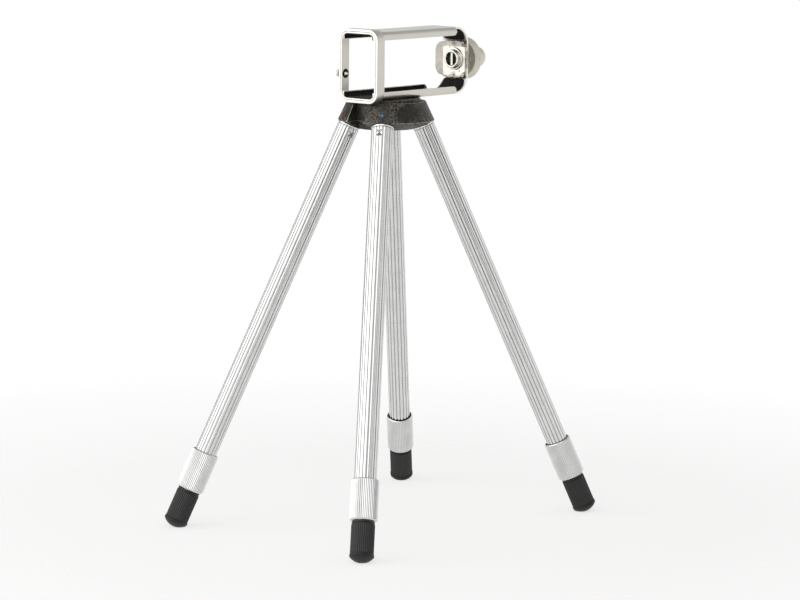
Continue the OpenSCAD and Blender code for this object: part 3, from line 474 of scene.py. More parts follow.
def satin_aluminium():
    """Satin aluminium: warm grey with a soft sheen, faintly brushed along the strip and a little cloudy.
    The ring's rims and the strap's edges, marked as rubbed, carry a painted highlight, a paler colour. The
    brush marks are drawn about 0.15 mm wide, coarser than the real ones, so that they show."""
    material, tree, shader, here = start_material("satin_aluminium_brushed")
    rubbed = read_mark(tree, "rubbed")
    brushed = streaks(tree, here, (7, 0.15, 0.15))
    cloud = noise(tree, here, 9, 3.0)
    tone = mix(tree, spread(tree, brushed, 0.0, 0.35), mix(tree, cloud, "#c2bfb6", "#d6d3cb"), "#e2e0d9")
    # Painted highlight: points marked as rubbed, the ring's rims and the strap's edges, are mixed towards
    # pale #ebe9e3.
    feed(tree, shader, {"Metallic": 1.0, "Base Color": mix(tree, rubbed, tone, "#ebe9e3"),
                        "Roughness": spread(tree, cloud, 0.3, 0.46),
                        "Normal": relief(tree, brushed, 0.35, 0.006)})
    return material


lower_rail = rail_surface()
upper_rail = lower_rail[::-1] * (1, 1, -1) + (0, 0, 2 * middle_z)
strap = strap_surface()
# The strap's cut edges are marked for the painted highlight.
camera_frame = surface("frame_strip", [lower_rail, strap, upper_rail], False, False,
                       marks={"rubbed": strip_edge_highlight(lower_rail, strap)})
thicken(camera_frame, sheet_t, frame_edge)
below_web, above_web, inside_wall, outside_wall = -1, 2, -2, 1
screw_head = rod(frame_screw_head_d, sheet_t / 2, above_web)
cut(camera_frame, [place(rod(2 * passage_r, below_web, above_web), ALONG_Z, (0, 0, frame_z)),
                   place(screw_head, ALONG_Z, (frame_screw_x, 0, frame_z)),
                   place(screw_head, ALONG_Z, (-frame_screw_x, 0, frame_z)),
                   place(rod(bush_neck_d, inside_wall, outside_wall), ALONG_X, (end_x, 0, middle_z))])
satin = satin_aluminium()
finish_piece(camera_frame, satin, "head", "satin_aluminium", "camera_frame")
dress(turned_metal("plated_screw_steel", "#cfccc4", "#a9a69e", 0.3, (0.2, 0.2, 5)), "frame_screws")

# Front ring: a sleeve round the mouth of the frame with a band shrunk on over it.
# Both are satin aluminium strip, bent to a rounded rectangle and butted, with rubbed, rounded edges whose
# rims carry a painted highlight.
# A hole through their left walls takes the boss of the side screw.
sleeve_t = 0.87
band_w, band_h, band_corner_r, band_t = 23.46, 33.36, 5.38, 1.25
ring_edge_r, ring_corner_steps, rim_highlight_fall = 0.3, 12, 1.5
side_x, side_z = ring_x + ring_depth / 2, frame_z + 11.5
side_hole_d, side_hole_y, side_hole_end_y = 4.26, 8, 14


def ring_surface(w, h, corner_r, t):
    """Section with round corners carried round a rounded rectangle; each point keeps its depth in the wall.
    The points of both rims are marked, under the name rubbed, for a painted highlight."""
    corners = np.array([(-1, -1), (1, -1), (1, 1), (-1, 1)]) / 2
    outer = rounded(corners * (w, h), corner_r, ring_corner_steps)
    inner = rounded(corners * (w - 2 * t, h - 2 * t), corner_r - t, ring_corner_steps)
    section = rounded([(ring_x, 0), (ring_end_x, 0), (ring_end_x, t), (ring_x, t)], ring_edge_r)
    depth = section[:, 1:, None] / t
    yz = outer + (inner - outer) * depth
    x = section[:, :1] * np.ones(len(outer))
    # Painted highlight mark: one at each rim, falling to nothing a little way in.
    from_edge = np.minimum(x - ring_x, ring_end_x - x)
    rubbed = np.clip(1 - rim_highlight_fall * from_edge / ring_edge_r, 0, 1)
    return np.stack([x, yz[..., 0], middle_z + yz[..., 1]], axis=-1), rubbed


for name, node, size in [("front_sleeve", "camera_frame", (sleeve_w, frame_h, sleeve_corner_r, sleeve_t)),
                         ("outer_band", "front_band", (band_w, band_h, band_corner_r, band_t))]:
    points, rubbed = ring_surface(*size)
    ring = surface(name, [points], marks={"rubbed": rubbed})
    cut(ring, [place(rod(side_hole_d, side_hole_y, side_hole_end_y), ALONG_Y, (side_x, 0, side_z))])
    finish_piece(ring, satin, "head", "satin_aluminium", node)

# Linings: thin black sheet that keeps the camera from being scratched.
# Grained leathercloth, cut to shape and glued inside the rails and the two bends.
lining_t, end_lining_half_w, lining_corner_r, lining_gap = 0.4, 6.2, 1.6, 0.93
lining_start_x, lining_end_x, lining_top, lining_edge = 36.13, 48.07, 6.3, 0.12


def end_lining_surface():
    """Underside of the lower bend's lining: lines across y along a straight stretch and the part of the bend
    below its top. Their half width falls as a quarter circle near each end, which rounds the four corners."""
    radius = bend_r - lining_gap
    flat = lining_end_x - radius - lining_start_x
    total = flat + radius * math.acos(1 - (lining_top - lining_gap) / radius)
    ease = lining_corner_r * (1 - np.cos(np.linspace(0, np.pi / 2, 8)))
    between = np.linspace(lining_corner_r, total - lining_corner_r, 16)[1:-1]
    s = np.concatenate([ease, between, total - ease[::-1]])
    angle = np.maximum(s - flat, 0) / radius
    near_end = np.clip(lining_corner_r - np.minimum(s, total - s), 0, None)
    half = end_lining_half_w - lining_corner_r + np.sqrt(lining_corner_r ** 2 - near_end ** 2)
    x = lining_start_x + np.minimum(s, flat) + radius * np.sin(angle)
    z = frame_z + lining_gap + radius * (1 - np.cos(angle))
    y = half[:, None] * np.linspace(-1, 1, 9)
    return np.stack([x[:, None] * np.ones_like(y), y, z[:, None] * np.ones_like(y)], axis=-1)


def leathercloth():
    """Black leathercloth: matt, with pebbled grain about 0.5 mm across, paler where the grain stands up."""
    material, tree, shader, here = start_material("leathercloth_black")
    raised = spread(tree, pebbles(tree, here, 0.5), 1.0, 0.0, 0.0, 0.7)
    feed(tree, shader, {"Base Color": mix(tree, raised, "#13110f", "#262220"), "Specular IOR Level": 0.2,
                        "Roughness": spread(tree, raised, 0.85, 0.55),
                        "Normal": relief(tree, raised, 0.7, 0.05)})
    return material


black_cloth = leathercloth()
dress(black_cloth, "bottom_lining", "top_lining")
lower_lining = end_lining_surface()
upper_lining = lower_lining[::-1] * (1, 1, -1) + (0, 0, 2 * middle_z)
for name, points in [("lower_end_lining", lower_lining), ("upper_end_lining", upper_lining)]:
    lining = surface(f"{name}_sheet", [points], False, False)
    thicken(lining, lining_t, lining_edge)
    finish_piece(lining, black_cloth, "head", "black_lining", name)

# Side screw and its boss: a small screw that steadies the camera from the left.
# The boss is steel riveted through the band; its dark colour is painted shade for the recess inside the ring.
# The screw is nickel-plated steel, with a coned tip that shows in the recess and a small knurled, slotted
# head outside.
side_tip_y, side_cone_y, side_neck_y, boss_seat_y, boss_end_y = 8.35, 9.35, 10.45, 11.76, 12.36
side_head_y, side_head_end_y = 12.91, 14.11
side_bore_r, side_neck_r, side_boss_r, side_screw_r, side_head_r = 1.05, 2.1, 2.4, 1.0, 1.7
side_knurl_count, side_knurl_depth = 20, 0.1
side_slot_w, slot_half_len, slot_clear = 0.5, 3, 1


def reeded(points, r, depth, count, crown=1.0):
    """Turned points whose radius is held under a ring of reeds: r less depth times a rounded saw wave."""
    reach = np.hypot(points[..., 0], points[..., 1])
    angle = np.arctan2(points[..., 1], points[..., 0])
    limit = r - depth * np.abs(np.sin(count * angle / 2)) ** crown
    scale = np.minimum(1, limit / np.maximum(reach, MM))
    return points * np.stack([scale, scale, np.ones_like(scale)], axis=-1)


def block(low, high):
    """Box between two corners: a four-sided tube along z that closes to a point in the middle of each end."""
    (x0, y0, z0), (x1, y1, z1) = low, high
    corner = np.array([(x0, y0), (x1, y0), (x1, y1), (x0, y1)])
    centre = np.broadcast_to(corner.mean(axis=0), (4, 2))
    rows = [(centre, z0), (corner, z0), (corner, z1), (centre, z1)]
    return np.stack([np.column_stack([xy, np.full(4, z)]) for xy, z in rows])


side_place = (side_x, 0, side_z)
boss_outline = rounded([(side_bore_r, side_neck_y), (side_neck_r, side_neck_y), (side_neck_r, boss_seat_y),
                        (side_boss_r, boss_seat_y), (side_boss_r, boss_end_y), (side_bore_r, boss_end_y)],
                       [0.1, 0.1, 0, 0.1, 0.2, 0.1])
side_boss = surface("side_screw_boss", [place(turn(boss_outline, 48), ALONG_Y, side_place)])
# Painted shade: the boss is coloured dark so that the recess round the screw's tip looks shaded.
finish_piece(side_boss, turned_metal("painted_shade_steel", "#4a463f", "#2f2c27", 0.4, (5, 0.2, 5)),
             "head", "plated_steel", "side_boss")
screw_outline = rounded([(0, side_tip_y), (side_screw_r / 2, side_tip_y), (side_screw_r, side_cone_y),
                         (side_screw_r, side_head_y), (side_head_r, side_head_y),
                         (side_head_r, side_head_end_y), (0, side_head_end_y)],
                        [0, 0.1, 0.2, 0.05, 0.2, 0.3, 0])
screw_round = turn(screw_outline, 8 * side_knurl_count)
screw_points = reeded(screw_round, side_head_r, side_knurl_depth, side_knurl_count)
side_screw = surface("side_thumb_screw", [place(screw_points, ALONG_Y, side_place)])
cut(side_screw, [block((side_x - side_slot_w / 2, side_head_end_y - side_slot_w, side_z - slot_half_len),
                       (side_x + side_slot_w / 2, side_head_end_y + slot_clear, side_z + slot_half_len))])
nickel_steel = turned_metal("nickel_plated_steel", "#dddad2", "#bdb9b0", 0.22, (5, 0.2, 5))
finish_piece(side_screw, nickel_steel, "side_screw", "plated_steel", "side_screw")

# End dish: the bright seat that the camera's end rests in.
# Chromium-plated sheet 0.6 mm thick, pressed with two ears and two scooped flaps, riveted to the end wall.
wall_in_x, dish_t, dish_half_w, dish_half_h = 48.07, 0.6, 6.8, 5.75
ear_len, ear_half_h, ear_corner_r, ear_corner_h, ear_angle = 3.8, 7.8, 3.2, 4.4, math.radians(40)
flap_len, flap_half_w, flap_corner_r, flap_angle = 3.3, 6.3, 0.8, math.radians(32)
fold_r, dish_edge, dish_x = 0.8, 0.15, 47.47
scoop_depth, scoop_end, scoop_round = 0.5, 0.75, 0.8


def fold(s, angle):
    """How far a folded strip runs outwards and forwards: round an arc first, then straight at the angle."""
    bent = np.minimum(s / fold_r, angle)
    rest = np.maximum(s - fold_r * angle, 0)
    return fold_r * np.sin(bent) + rest * np.cos(angle), fold_r * (1 - np.cos(bent)) + rest * np.sin(angle)


def dish_surfaces():
    """Back of the dish as three grids: the base with its flaps, and the two ears, which share its edges.
    A scoop sinks each half of a flap by a sine-shaped hollow, which leaves a rib down the middle."""
    base_half_h = dish_half_h - fold_r * math.tan(flap_angle / 2)
    base_half_w = dish_half_w - fold_r * math.tan(ear_angle / 2)
    base_z = np.linspace(-base_half_h, base_half_h, 17)
    flap_s = np.linspace(0, flap_len + fold_r * math.tan(flap_angle / 2), 17)[1:]
    across = np.linspace(-1, 1, 41)
    out, ahead = fold(flap_s, flap_angle)
    near_end = np.clip(flap_corner_r - (flap_s[-1] - flap_s), 0, None)
    flap_w = flap_half_w - flap_corner_r + np.sqrt(flap_corner_r ** 2 - near_end ** 2)
    flap_w = np.minimum(flap_w, base_half_w)
    down_flap = np.sin(np.pi * np.clip(flap_s / flap_s[-1], 0, 1) * scoop_end)
    hollow = down_flap[:, None] * np.abs(np.sin(np.pi * across)) ** scoop_round
    flap_x = wall_in_x - ahead[:, None] + scoop_depth * hollow * np.sin(flap_angle)
    flap_z = base_half_h + out[:, None] + scoop_depth * hollow * math.cos(flap_angle)
    flap_y = flap_w[:, None] * across
    flap = np.stack([flap_x, flap_y, flap_z], axis=-1)
    base = np.stack(np.broadcast_arrays(wall_in_x, base_half_w * across, base_z[:, None]), axis=-1)
    middle = np.concatenate([flap[::-1] * (1, 1, -1), base, flap])
    past_base = np.linspace(base_half_h, ear_half_h, 9)[1:]
    ear_z = np.concatenate([-past_base[::-1], base_z, past_base])[:, None]
    corner = np.clip(np.abs(ear_z) - (ear_half_h - ear_corner_h), 0, ear_corner_h) / ear_corner_h
    length = ear_len + fold_r * math.tan(ear_angle / 2) - ear_corner_r * (1 - np.sqrt(1 - corner ** 2))
    out, ahead = fold(np.linspace(0, 1, 13) * length, ear_angle)
    ear = np.stack([wall_in_x - ahead, base_half_w + out, ear_z * np.ones_like(out)], axis=-1)
    patches = [middle, ear, ear[:, ::-1] * (1, -1, 1)]
    return [patch + (0, 0, middle_z) for patch in patches]


def chromium_plate():
    """Chromium plate on pressed sheet: bright and pale, dulled by fine rubbing and by faint smears about
    2 mm across."""
    material, tree, shader, here = start_material("chromium_plate_pressed")
    smears = noise(tree, here, 2, 5.0)
    rubbed = streaks(tree, here, (0.2, 3, 0.2))
    feed(tree, shader, {"Metallic": 1.0, "Base Color": mix(tree, smears, "#d4d0c7", "#e3dfd6"),
                        "Roughness": spread(tree, smears, 0.24, 0.4, 0.3, 0.7),
                        "Normal": relief(tree, rubbed, 0.25, 0.004)})
    return material


chrome = chromium_plate()
dish = surface("pressed_end_dish", dish_surfaces(), False, False)
thicken(dish, dish_t, dish_edge)
neck_clear = 3
cut(dish, [place(rod(bush_neck_d, -neck_clear, neck_clear), ALONG_X, (wall_in_x, 0, middle_z))])
finish_piece(dish, chrome, "head", "plated_brass", "end_dish")

# Bayonet disc, rivets and bush: what the lock turns in.
# The disc is turned brass with a raised nose, chromium plated; the bush is turned aluminium.
# Two small rivets hold the dish to the end wall, and the bush's neck is spun over behind the disc.
lock_place = (0, 0, middle_z)
disc_r, disc_x, disc_back_x = 5.3, 46.84, 47.44
nose_r, nose_bore_r, nose_x = 4.3, 3.2, 45.24
bush_r, bush_bore_r, bush_x, bush_end_x = 3.8, 2.0, 49.03, 53.2
neck_fit = 0.03
bush_neck_r = bush_neck_d / 2 - neck_fit
disc_outline = rounded([(nose_bore_r, nose_x), (nose_r, nose_x), (nose_r, disc_x), (disc_r, disc_x),
                        (disc_r, disc_back_x), (nose_bore_r, disc_back_x)],
                       [0.2, 0.55, 0.35, 0.25, 0.05, 0.05])
disc = surface("bayonet_disc_nose", [place(turn(disc_outline), ALONG_X, lock_place)])
finish_piece(disc, chrome, "head", "plated_brass", "bayonet_disc")
dress(nickel_steel, "dish_rivets")
bush_outline = rounded([(bush_bore_r, dish_x), (bush_neck_r, dish_x), (bush_neck_r, bush_x), (bush_r, bush_x),
                        (bush_r, bush_end_x), (bush_bore_r, bush_end_x)], [0.05, 0.1, 0, 0.1, 0.4, 0.2])
bush = surface("lock_bush_collar", [place(turn(bush_outline), ALONG_X, lock_place)])
finish_piece(bush, turned_metal("turned_bush_aluminium", "#dedbd3", "#c2beb4", 0.27, (0.2, 6, 6)),
             "head", "bright_aluminium", "lock_bush")

# Lock knob: a bell-shaped knob on a spindle that turns the bayonet bar inside the disc's nose.
# Turned from aluminium bar, hollowed at the front, satin finished; a cross pin holds it on the steel spindle.
bell_x, bell_max_x, grip_x, knob_end_x = 53.1, 55.5, 61.7, 66.5
bell_rim_r, bell_r, bell_wall, bell_hollow = 8.2, 9.9, 1.2, 1.1
knob_r, knob_edge_r, knob_boss_r, knob_bore_r, knob_bore_end_x = 4.8, 3.0, 3.15, 1.98, 64.4
knob_boss_gap = 0.05


def knob_outline():
    """Radius and place along the axis: a central boss, the hollow, the flaring rim, then the back, whose
    radius falls to the grip's as a power of the share of its length that is left, and the rounded end."""
    t = np.linspace(0, 1, 13)[1:]
    back_r = knob_r + (bell_r - knob_r) * (1 - t) ** bell_hollow
    back = np.stack([back_r, bell_max_x + (grip_x - bell_max_x) * t], axis=1)
    boss_x, hollow_r = bush_end_x + knob_boss_gap, bell_rim_r - bell_wall
    front = [(0, knob_bore_end_x), (knob_bore_r, knob_bore_end_x), (knob_bore_r, boss_x),
             (knob_boss_r, boss_x), (knob_boss_r, bell_max_x), (hollow_r, bell_max_x), (hollow_r, bell_x),
             (bell_rim_r, bell_x), (bell_r, bell_max_x)]
    end = [(knob_r, knob_end_x), (0, knob_end_x)]
    radii = [0, 0, 0.1, 0.15, 0.3, 0.5, 0.2, 0.3, 0.55] + [0] * len(back) + [knob_edge_r, 0]
    return rounded(np.vstack([front, back, end]), radii, 8)


def satin_knob():
    """Satin aluminium turned in a lathe: a warm, almost matt grey with fine rings round the axis, drawn about
    0.2 mm apart."""
    material, tree, shader, here = start_material("satin_aluminium_turned")
    rings = streaks(tree, here, (0.2, 9, 9))
    cloud = noise(tree, here, 6, 3.0)
    feed(tree, shader, {"Metallic": 1.0, "Base Color": mix(tree, cloud, "#dad7cb", "#e3e0d5"),
                        "Roughness": spread(tree, rings, 0.58, 0.7),
                        "Normal": relief(tree, rings, 0.35, 0.006)})
    return material


def pocket_shaded_steel():
    """Nickel-plated steel: bright on the bar that shows in the nose, and painted shade, dark and dull, in the
    pockets behind it."""
    bar_x, pocket_x = 45.9, 46.5
    material, tree, shader, here = start_material("nickel_plated_steel_shaded_pockets")
    depth = add(tree, "ShaderNodeSeparateXYZ", {"Vector": here}).outputs["X"]
    # Painted shade: past the bar, in the pockets, the steel turns dark and hardly metallic.
    pocket_shade = spread(tree, depth, 0.0, 1.0, bar_x * MM, pocket_x * MM)
    marks = streaks(tree, here, (0.2, 5, 5))
    feed(tree, shader, {"Metallic": spread(tree, pocket_shade, 1.0, 0.2), "Roughness": spread(tree, marks, 0.2, 0.34),
                        "Base Color": mix(tree, pocket_shade, mix(tree, marks, "#bdb9b0", "#dddad2"), "#24211d")})
    return material


knob = surface("bell_knob", [place(turn(knob_outline(), 128), ALONG_X, lock_place)], sharp=30)
finish_piece(knob, satin_knob(), "lock", "satin_aluminium", "lock_knob")
dress(pocket_shaded_steel(), "lock_spindle")
dress(nickel_steel, "knob_pin")

# Leg plugs: the flanged top ends of the legs, with the studs that screw into the hub.
# Turned aluminium, pressed into the tubes and held by a crimp; the flange's edge is polished round.
tube_bore_r, stud_r, stud_len, plug_r, plug_end_s = 4.3, 2.45, 5.4, 4.27, 11.05
flange_r, flange_s, flange_end_s, flange_edge_r = 5.2, 0.05, 1.05, 0.42
plug_outline = rounded([(0, -stud_len), (stud_r, -stud_len), (stud_r, flange_s), (flange_r, flange_s),
                        (flange_r, flange_end_s), (plug_r, flange_end_s), (plug_r, plug_end_s),
                        (0, plug_end_s)],
                       [0, 0.4, 0.1, flange_edge_r, flange_edge_r, 0, 0.4, 0])


def leg_piece(name, local, azimuth, sharp=35, **marks):
    """Makes a closed piece of a leg; each point keeps its place along and round the leg for its finish."""
    marks = {"leg_place": local * MM, **marks}
    return surface(name, [on_leg(local, azimuth)], sharp=sharp, marks=marks)


def polished_aluminium(name, lengths, light, valley_shade, rough):
    """Polished aluminium: close to a mirror, drawn out into fine lines along the leg, with painted shade, a
    dull grey, in the bottoms of its flutes and creases. The lines are drawn about 0.25 mm wide, coarser than
    the real ones, so that they show."""
    smoother, rougher = 0.05, 0.07
    material, tree, shader, _ = start_material(name)
    on_piece = read_mark(tree, "leg_place", "Vector")
    valley = read_mark(tree, "valley")
    lines = streaks(tree, on_piece, lengths)
    smears = noise(tree, on_piece, 6, 4.0)
    clean = mix(tree, smears, "#d0d1d2", light)
    # Painted shade: points marked as valley, the flute bottoms and creases, are mixed towards the dark
    # valley_shade colour.
    feed(tree, shader, {"Metallic": 1.0, "Base Color": mix(tree, valley, clean, valley_shade),
                        "Roughness": spread(tree, smears, rough - smoother, rough + rougher),
                        "Normal": relief(tree, lines, 0.15, 0.006)})
    return material


flange_metal = polished_aluminium("polished_aluminium_turned", (5, 5, 0.25), "#eeeeec", "#77746d", 0.2)
for leg, azimuth in LEGS.items():
    plug = leg_piece(f"{leg}_leg_flange", turn(plug_outline), azimuth)
    finish_piece(plug, flange_metal, f"{leg}_leg", "bright_aluminium", f"{leg}_leg_plug")

# Leg tubes: the fluted outer tubes of the telescopic legs.
# Drawn aluminium tube with 18 rounded ribs, polished; a four-sided punch crimps each tube onto its plug.
tube_r, rib_r, rib_count = 5.0, 1.2, 18
tube_s, tube_end_s, tube_edge = 1.08, 170.17, 0.35
crimp_s, crimp_half_w, crimp_depth = 3.0, 2.0, 0.6
crimp_margin, plain_gap = 1.15, 3
least_cos, least_share, punch_cos = 0.3, 0.1, 0.5
crease_w, crease_core, valley_power = 0.5, 1.3, 4
CRIMP_TURNS = {"left": 107, "front": -11, "right": 150, "back": 120}


def tube_points(crimp_turn):
    """Round the leg the radius follows a ring of circles, the ribs, whose centres lie on one circle. Near the
    crimp it is held under a four-sided punch, which rises from its point with the larger of two distances.
    Painted shade lies in the valleys, by a power of the way from a rib's crown, and in the punch's creases."""
    around = np.linspace(0, 2 * np.pi, 14 * rib_count, endpoint=False)
    pitch = 2 * np.pi / rib_count
    off = (around + pitch / 2) % pitch - pitch / 2
    centre_r = tube_r - rib_r
    rib = centre_r * np.cos(off) + np.sqrt(rib_r ** 2 - (centre_r * np.sin(off)) ** 2)
    near = crimp_s + np.linspace(-crimp_margin, crimp_margin, 37) * crimp_half_w
    tube_len = tube_end_s - tube_s
    plain = np.linspace(near[-1] + plain_gap, tube_len - tube_edge, 24)
    s = np.concatenate([[0, tube_edge], near, plain, [tube_len]])[:, None]
    chamfer = np.where((s == 0) | (s == s[-1]), tube_edge, 0)
    slope = crimp_depth / crimp_half_w
    turned = (around - math.radians(180 - crimp_turn) + np.pi) % (2 * np.pi) - np.pi
    cos = np.maximum(np.cos(turned), least_cos)
    point_r = tube_r - crimp_depth
    punch = np.maximum((point_r + slope * np.abs(s - crimp_s)) / cos,
                       point_r / np.maximum(cos - slope * np.abs(np.sin(turned)), least_share))
    r = np.minimum(rib - chamfer, np.where(np.cos(turned) > punch_cos, punch, tube_r))
    bore = np.full_like(r, tube_bore_r)
    crease = np.abs(np.abs(s - crimp_s) - tube_r * np.abs(np.sin(turned)))
    crease = np.where((r < rib - MM) & (chamfer == 0), np.clip(crease_core - crease / crease_w, 0, 1), 0)
    # Painted shade mark: it grows towards the bottom of each valley between ribs and along the punch's
    # creases.
    valley = np.vstack([np.maximum(np.abs(off / (pitch / 2)) ** valley_power, crease), 0 * bore])
    r, s = np.vstack([r, bore[::-1]]), np.vstack([s, s[::-1]]) + tube_s
    return np.stack([r * np.cos(around), r * np.sin(around), s * np.ones_like(around)], axis=-1), valley


tube_metal = polished_aluminium("polished_aluminium_drawn", (0.25, 0.25, 40), "#f0f0ee", "#76726d", 0.22)
for leg, azimuth in LEGS.items():
    points, valley = tube_points(CRIMP_TURNS[leg])
    tube = leg_piece(f"{leg}_fluted_tube", points, azimuth, 22, valley=valley)
    finish_piece(tube, tube_metal, f"{leg}_leg", "bright_aluminium", f"{leg}_leg_tube")

# Collets: the split brass sleeves in the tubes' ends, which the collars squeeze.
# Turned brass, slit across; they show only from close by, at the collars' mouths.
dress(turned_metal("turned_brass", "#c4a868", "#a88c4c", 0.28, (5, 5, 0.2)),
      *[f"{leg}_collet" for leg in LEGS])

# Collars: the twist rings that lock the telescopic legs.
# Turned aluminium with 48 reeds, chamfered at both ends and polished; an open mouth shows round the tube.
collar_s, collar_end_s, collar_r, collar_chamfer = 162.6, 181.3, 6.2, 0.7
mouth_r, mouth_end_s, collar_bore_r, bore_end_s = 5.6, 170.2, 5.2, 176.5
cone_r, cone_end_s, collar_hole_r = 4.4, 179.1, 3.7
reed_count, reed_depth, reed_shade, shade_power = 48, 0.22, 0.6, 5
mouth_inset, mouth_rim, mouth_wall = 0.15, 0.08, 0.2
collar_outline = rounded([(mouth_r, collar_s + mouth_inset), (mouth_r + mouth_rim, collar_s + mouth_inset),
                          (collar_r, collar_s + collar_chamfer), (collar_r, collar_end_s - collar_chamfer),
                          (collar_r - collar_chamfer, collar_end_s), (collar_hole_r, collar_end_s),
                          (collar_hole_r, cone_end_s), (cone_r, cone_end_s), (collar_bore_r, bore_end_s),
                          (collar_bore_r, mouth_end_s), (mouth_r, mouth_end_s)],
                         [0, 0.03, 0.25, 0.25, 0.2, 0.2, 0, 0, 0, 0, 0])
collar_metal = polished_aluminium("polished_aluminium_reeded", (3, 3, 0.25), "#f2f2f0", "#8f8c86", 0.3)
for leg, azimuth in LEGS.items():
    points = reeded(turn(collar_outline, 10 * reed_count), collar_r, reed_depth, reed_count)
    angle = np.arctan2(points[..., 1], points[..., 0])
    outside = np.hypot(points[..., 0], points[..., 1]) > mouth_r + mouth_wall
    # Painted shade mark in the bottoms of the reeds, on the outside only.
    valley = outside * reed_shade * np.abs(np.sin(reed_count * angle / 2)) ** shade_power
    collar = leg_piece(f"{leg}_reeded_collar", points, azimuth, 40, valley=valley)
    finish_piece(collar, collar_metal, f"{leg}_collar", "bright_aluminium", f"{leg}_collar")

# Inner tubes and guide bushes: what slides out when a leg is drawn.
# Plain drawn aluminium tube, with a moulded nylon bush on its upper end that runs in the outer tube.


def moulded_nylon():
    """Moulded nylon: milky and slightly see-through, with a soft gloss and faint mottling about 1.5 mm
    across."""
    material, tree, shader, here = start_material("moulded_nylon")
    mottle = noise(tree, here, 1.5, 3.0)
    feed(tree, shader, {"Base Color": mix(tree, mottle, "#d8d2c2", "#ebe7db"), "Subsurface Weight": 0.1,
                        "IOR": 1.53, "Roughness": spread(tree, mottle, 0.35, 0.5)})
    return material


dress(turned_metal("drawn_inner_aluminium", "#dddad3", "#c6c3bb", 0.24, (0.25, 0.25, 30)),
      *[f"{leg}_inner_tube" for leg in LEGS])
dress(moulded_nylon(), *[f"{leg}_guide_bush" for leg in LEGS])

# Foot barrels: the black ends of the inner tubes, which are gripped to draw the legs out.
# Moulded phenolic with 40 fine ribs, a groove and a thin lip, glued on the tube.
foot_s, lip_end_s, barrel_s, barrel_end_s, barrel_bore_end_s = 181.6, 182.4, 182.7, 195.9, 192.3
lip_r, groove_r, barrel_r, foot_bore_r = 5.1, 4.7, 5.25, 3.43
peg_hole_r, peg_hole_s = 2.33, 193.07
barrel_rib_count, barrel_rib_depth, barrel_rib_crown = 40, 0.18, 0.8
barrel_outline = rounded([(0, barrel_bore_end_s), (foot_bore_r, barrel_bore_end_s), (foot_bore_r, foot_s),
                          (lip_r, foot_s), (lip_r, lip_end_s), (groove_r, lip_end_s), (groove_r, barrel_s),
                          (barrel_r, barrel_s), (barrel_r, barrel_end_s), (peg_hole_r, barrel_end_s),
                          (peg_hole_r, peg_hole_s), (0, peg_hole_s)],
                         [0, 0, 0.1, 0.25, 0.25, 0.05, 0.05, 0.25, 0.25, 0.05, 0, 0])


def phenolic_black():
    """Black phenolic moulding: hard, half glossy, with faint flow patches about 3 mm across and fine dust."""
    material, tree, shader, here = start_material("phenolic_moulding_black")
    flow = noise(tree, here, 3, 3.0)
    dust = noise(tree, here, 0.25, 2.0)
    dusty = spread(tree, dust, 0.0, 0.5, 0.45, 0.8)
    feed(tree, shader, {"IOR": 1.6, "Specular IOR Level": 0.35,
                        "Base Color": mix(tree, dusty, "#12100f", "#2c2926"),
                        "Roughness": spread(tree, flow, 0.28, 0.45), "Normal": relief(tree, dust, 0.2, 0.01)})
    return material


phenolic = phenolic_black()
for leg, azimuth in LEGS.items():
    smooth = turn(barrel_outline, 8 * barrel_rib_count)
    points = reeded(smooth, barrel_r, barrel_rib_depth, barrel_rib_count, barrel_rib_crown)
    barrel = leg_piece(f"{leg}_ribbed_barrel", points, azimuth, 40)
    finish_piece(barrel, phenolic, f"{leg}_foot", "black_plastic", f"{leg}_foot_barrel")

# Foot tips: the rubber ends that the stand rests on.
# Moulded black rubber, domed, held by a peg in the barrel, with a flat worn under each.
peg_r, peg_s, tip_s, tip_r, tip_end_s, dome_r = 2.3, 193.1, 195.93, 5.45, 199.8, 7.0
dome_inset, side_inset, tip_steps = 0.25, 0.3, 6


def tip_points(azimuth):
    """Peg, flat top, short side and a dome of one sphere, turned round the leg; points under the ground are
    brought up along z to its level, which gives the worn flat."""
    dome = np.linspace(math.asin((tip_r - dome_inset) / dome_r), 0, 20)
    arc = np.stack([dome_r * np.sin(dome), tip_end_s - dome_r + dome_r * np.cos(dome)], axis=1)
    side_s = arc[0, 1] - side_inset
    side = rounded([(0, peg_s), (peg_r, peg_s), (peg_r, tip_s), (tip_r, tip_s), (tip_r, side_s), (0, side_s)],
                   [0, 0.2, 0, 0.3, 0, 0], tip_steps)[:-tip_steps - 1]
    local = turn(np.vstack([side, arc]), 80)
    points = on_leg(local, azimuth)
    points[..., 2] = np.maximum(points[..., 2], 0)
    return points


def black_rubber():
    """Moulded rubber: dull black with a fine matt skin, grey with dust low down where it meets the ground."""
    material, tree, shader, here = start_material("moulded_rubber_black")
    dust = noise(tree, here, 0.8, 4.0)
    skin = noise(tree, here, 0.2, 2.0)
    height = add(tree, "ShaderNodeSeparateXYZ", {"Vector": here}).outputs["Z"]
    low = spread(tree, height, 0.8, 0.15, 0.0, 4 * MM)
    dusty = product(tree, low, dust)
    feed(tree, shader, {"IOR": 1.52, "Specular IOR Level": 0.35,
                        "Base Color": mix(tree, dusty, "#1a1817", "#403c37"),
                        "Roughness": spread(tree, dust, 0.4, 0.58), "Normal": relief(tree, skin, 0.3, 0.02)})
    return material


rubber = black_rubber()
for leg, azimuth in LEGS.items():
    tip = surface(f"{leg}_rubber_tip", [tip_points(azimuth)], sharp=50)
    finish_piece(tip, rubber, f"{leg}_foot", "black_rubber", f"{leg}_foot_tip")

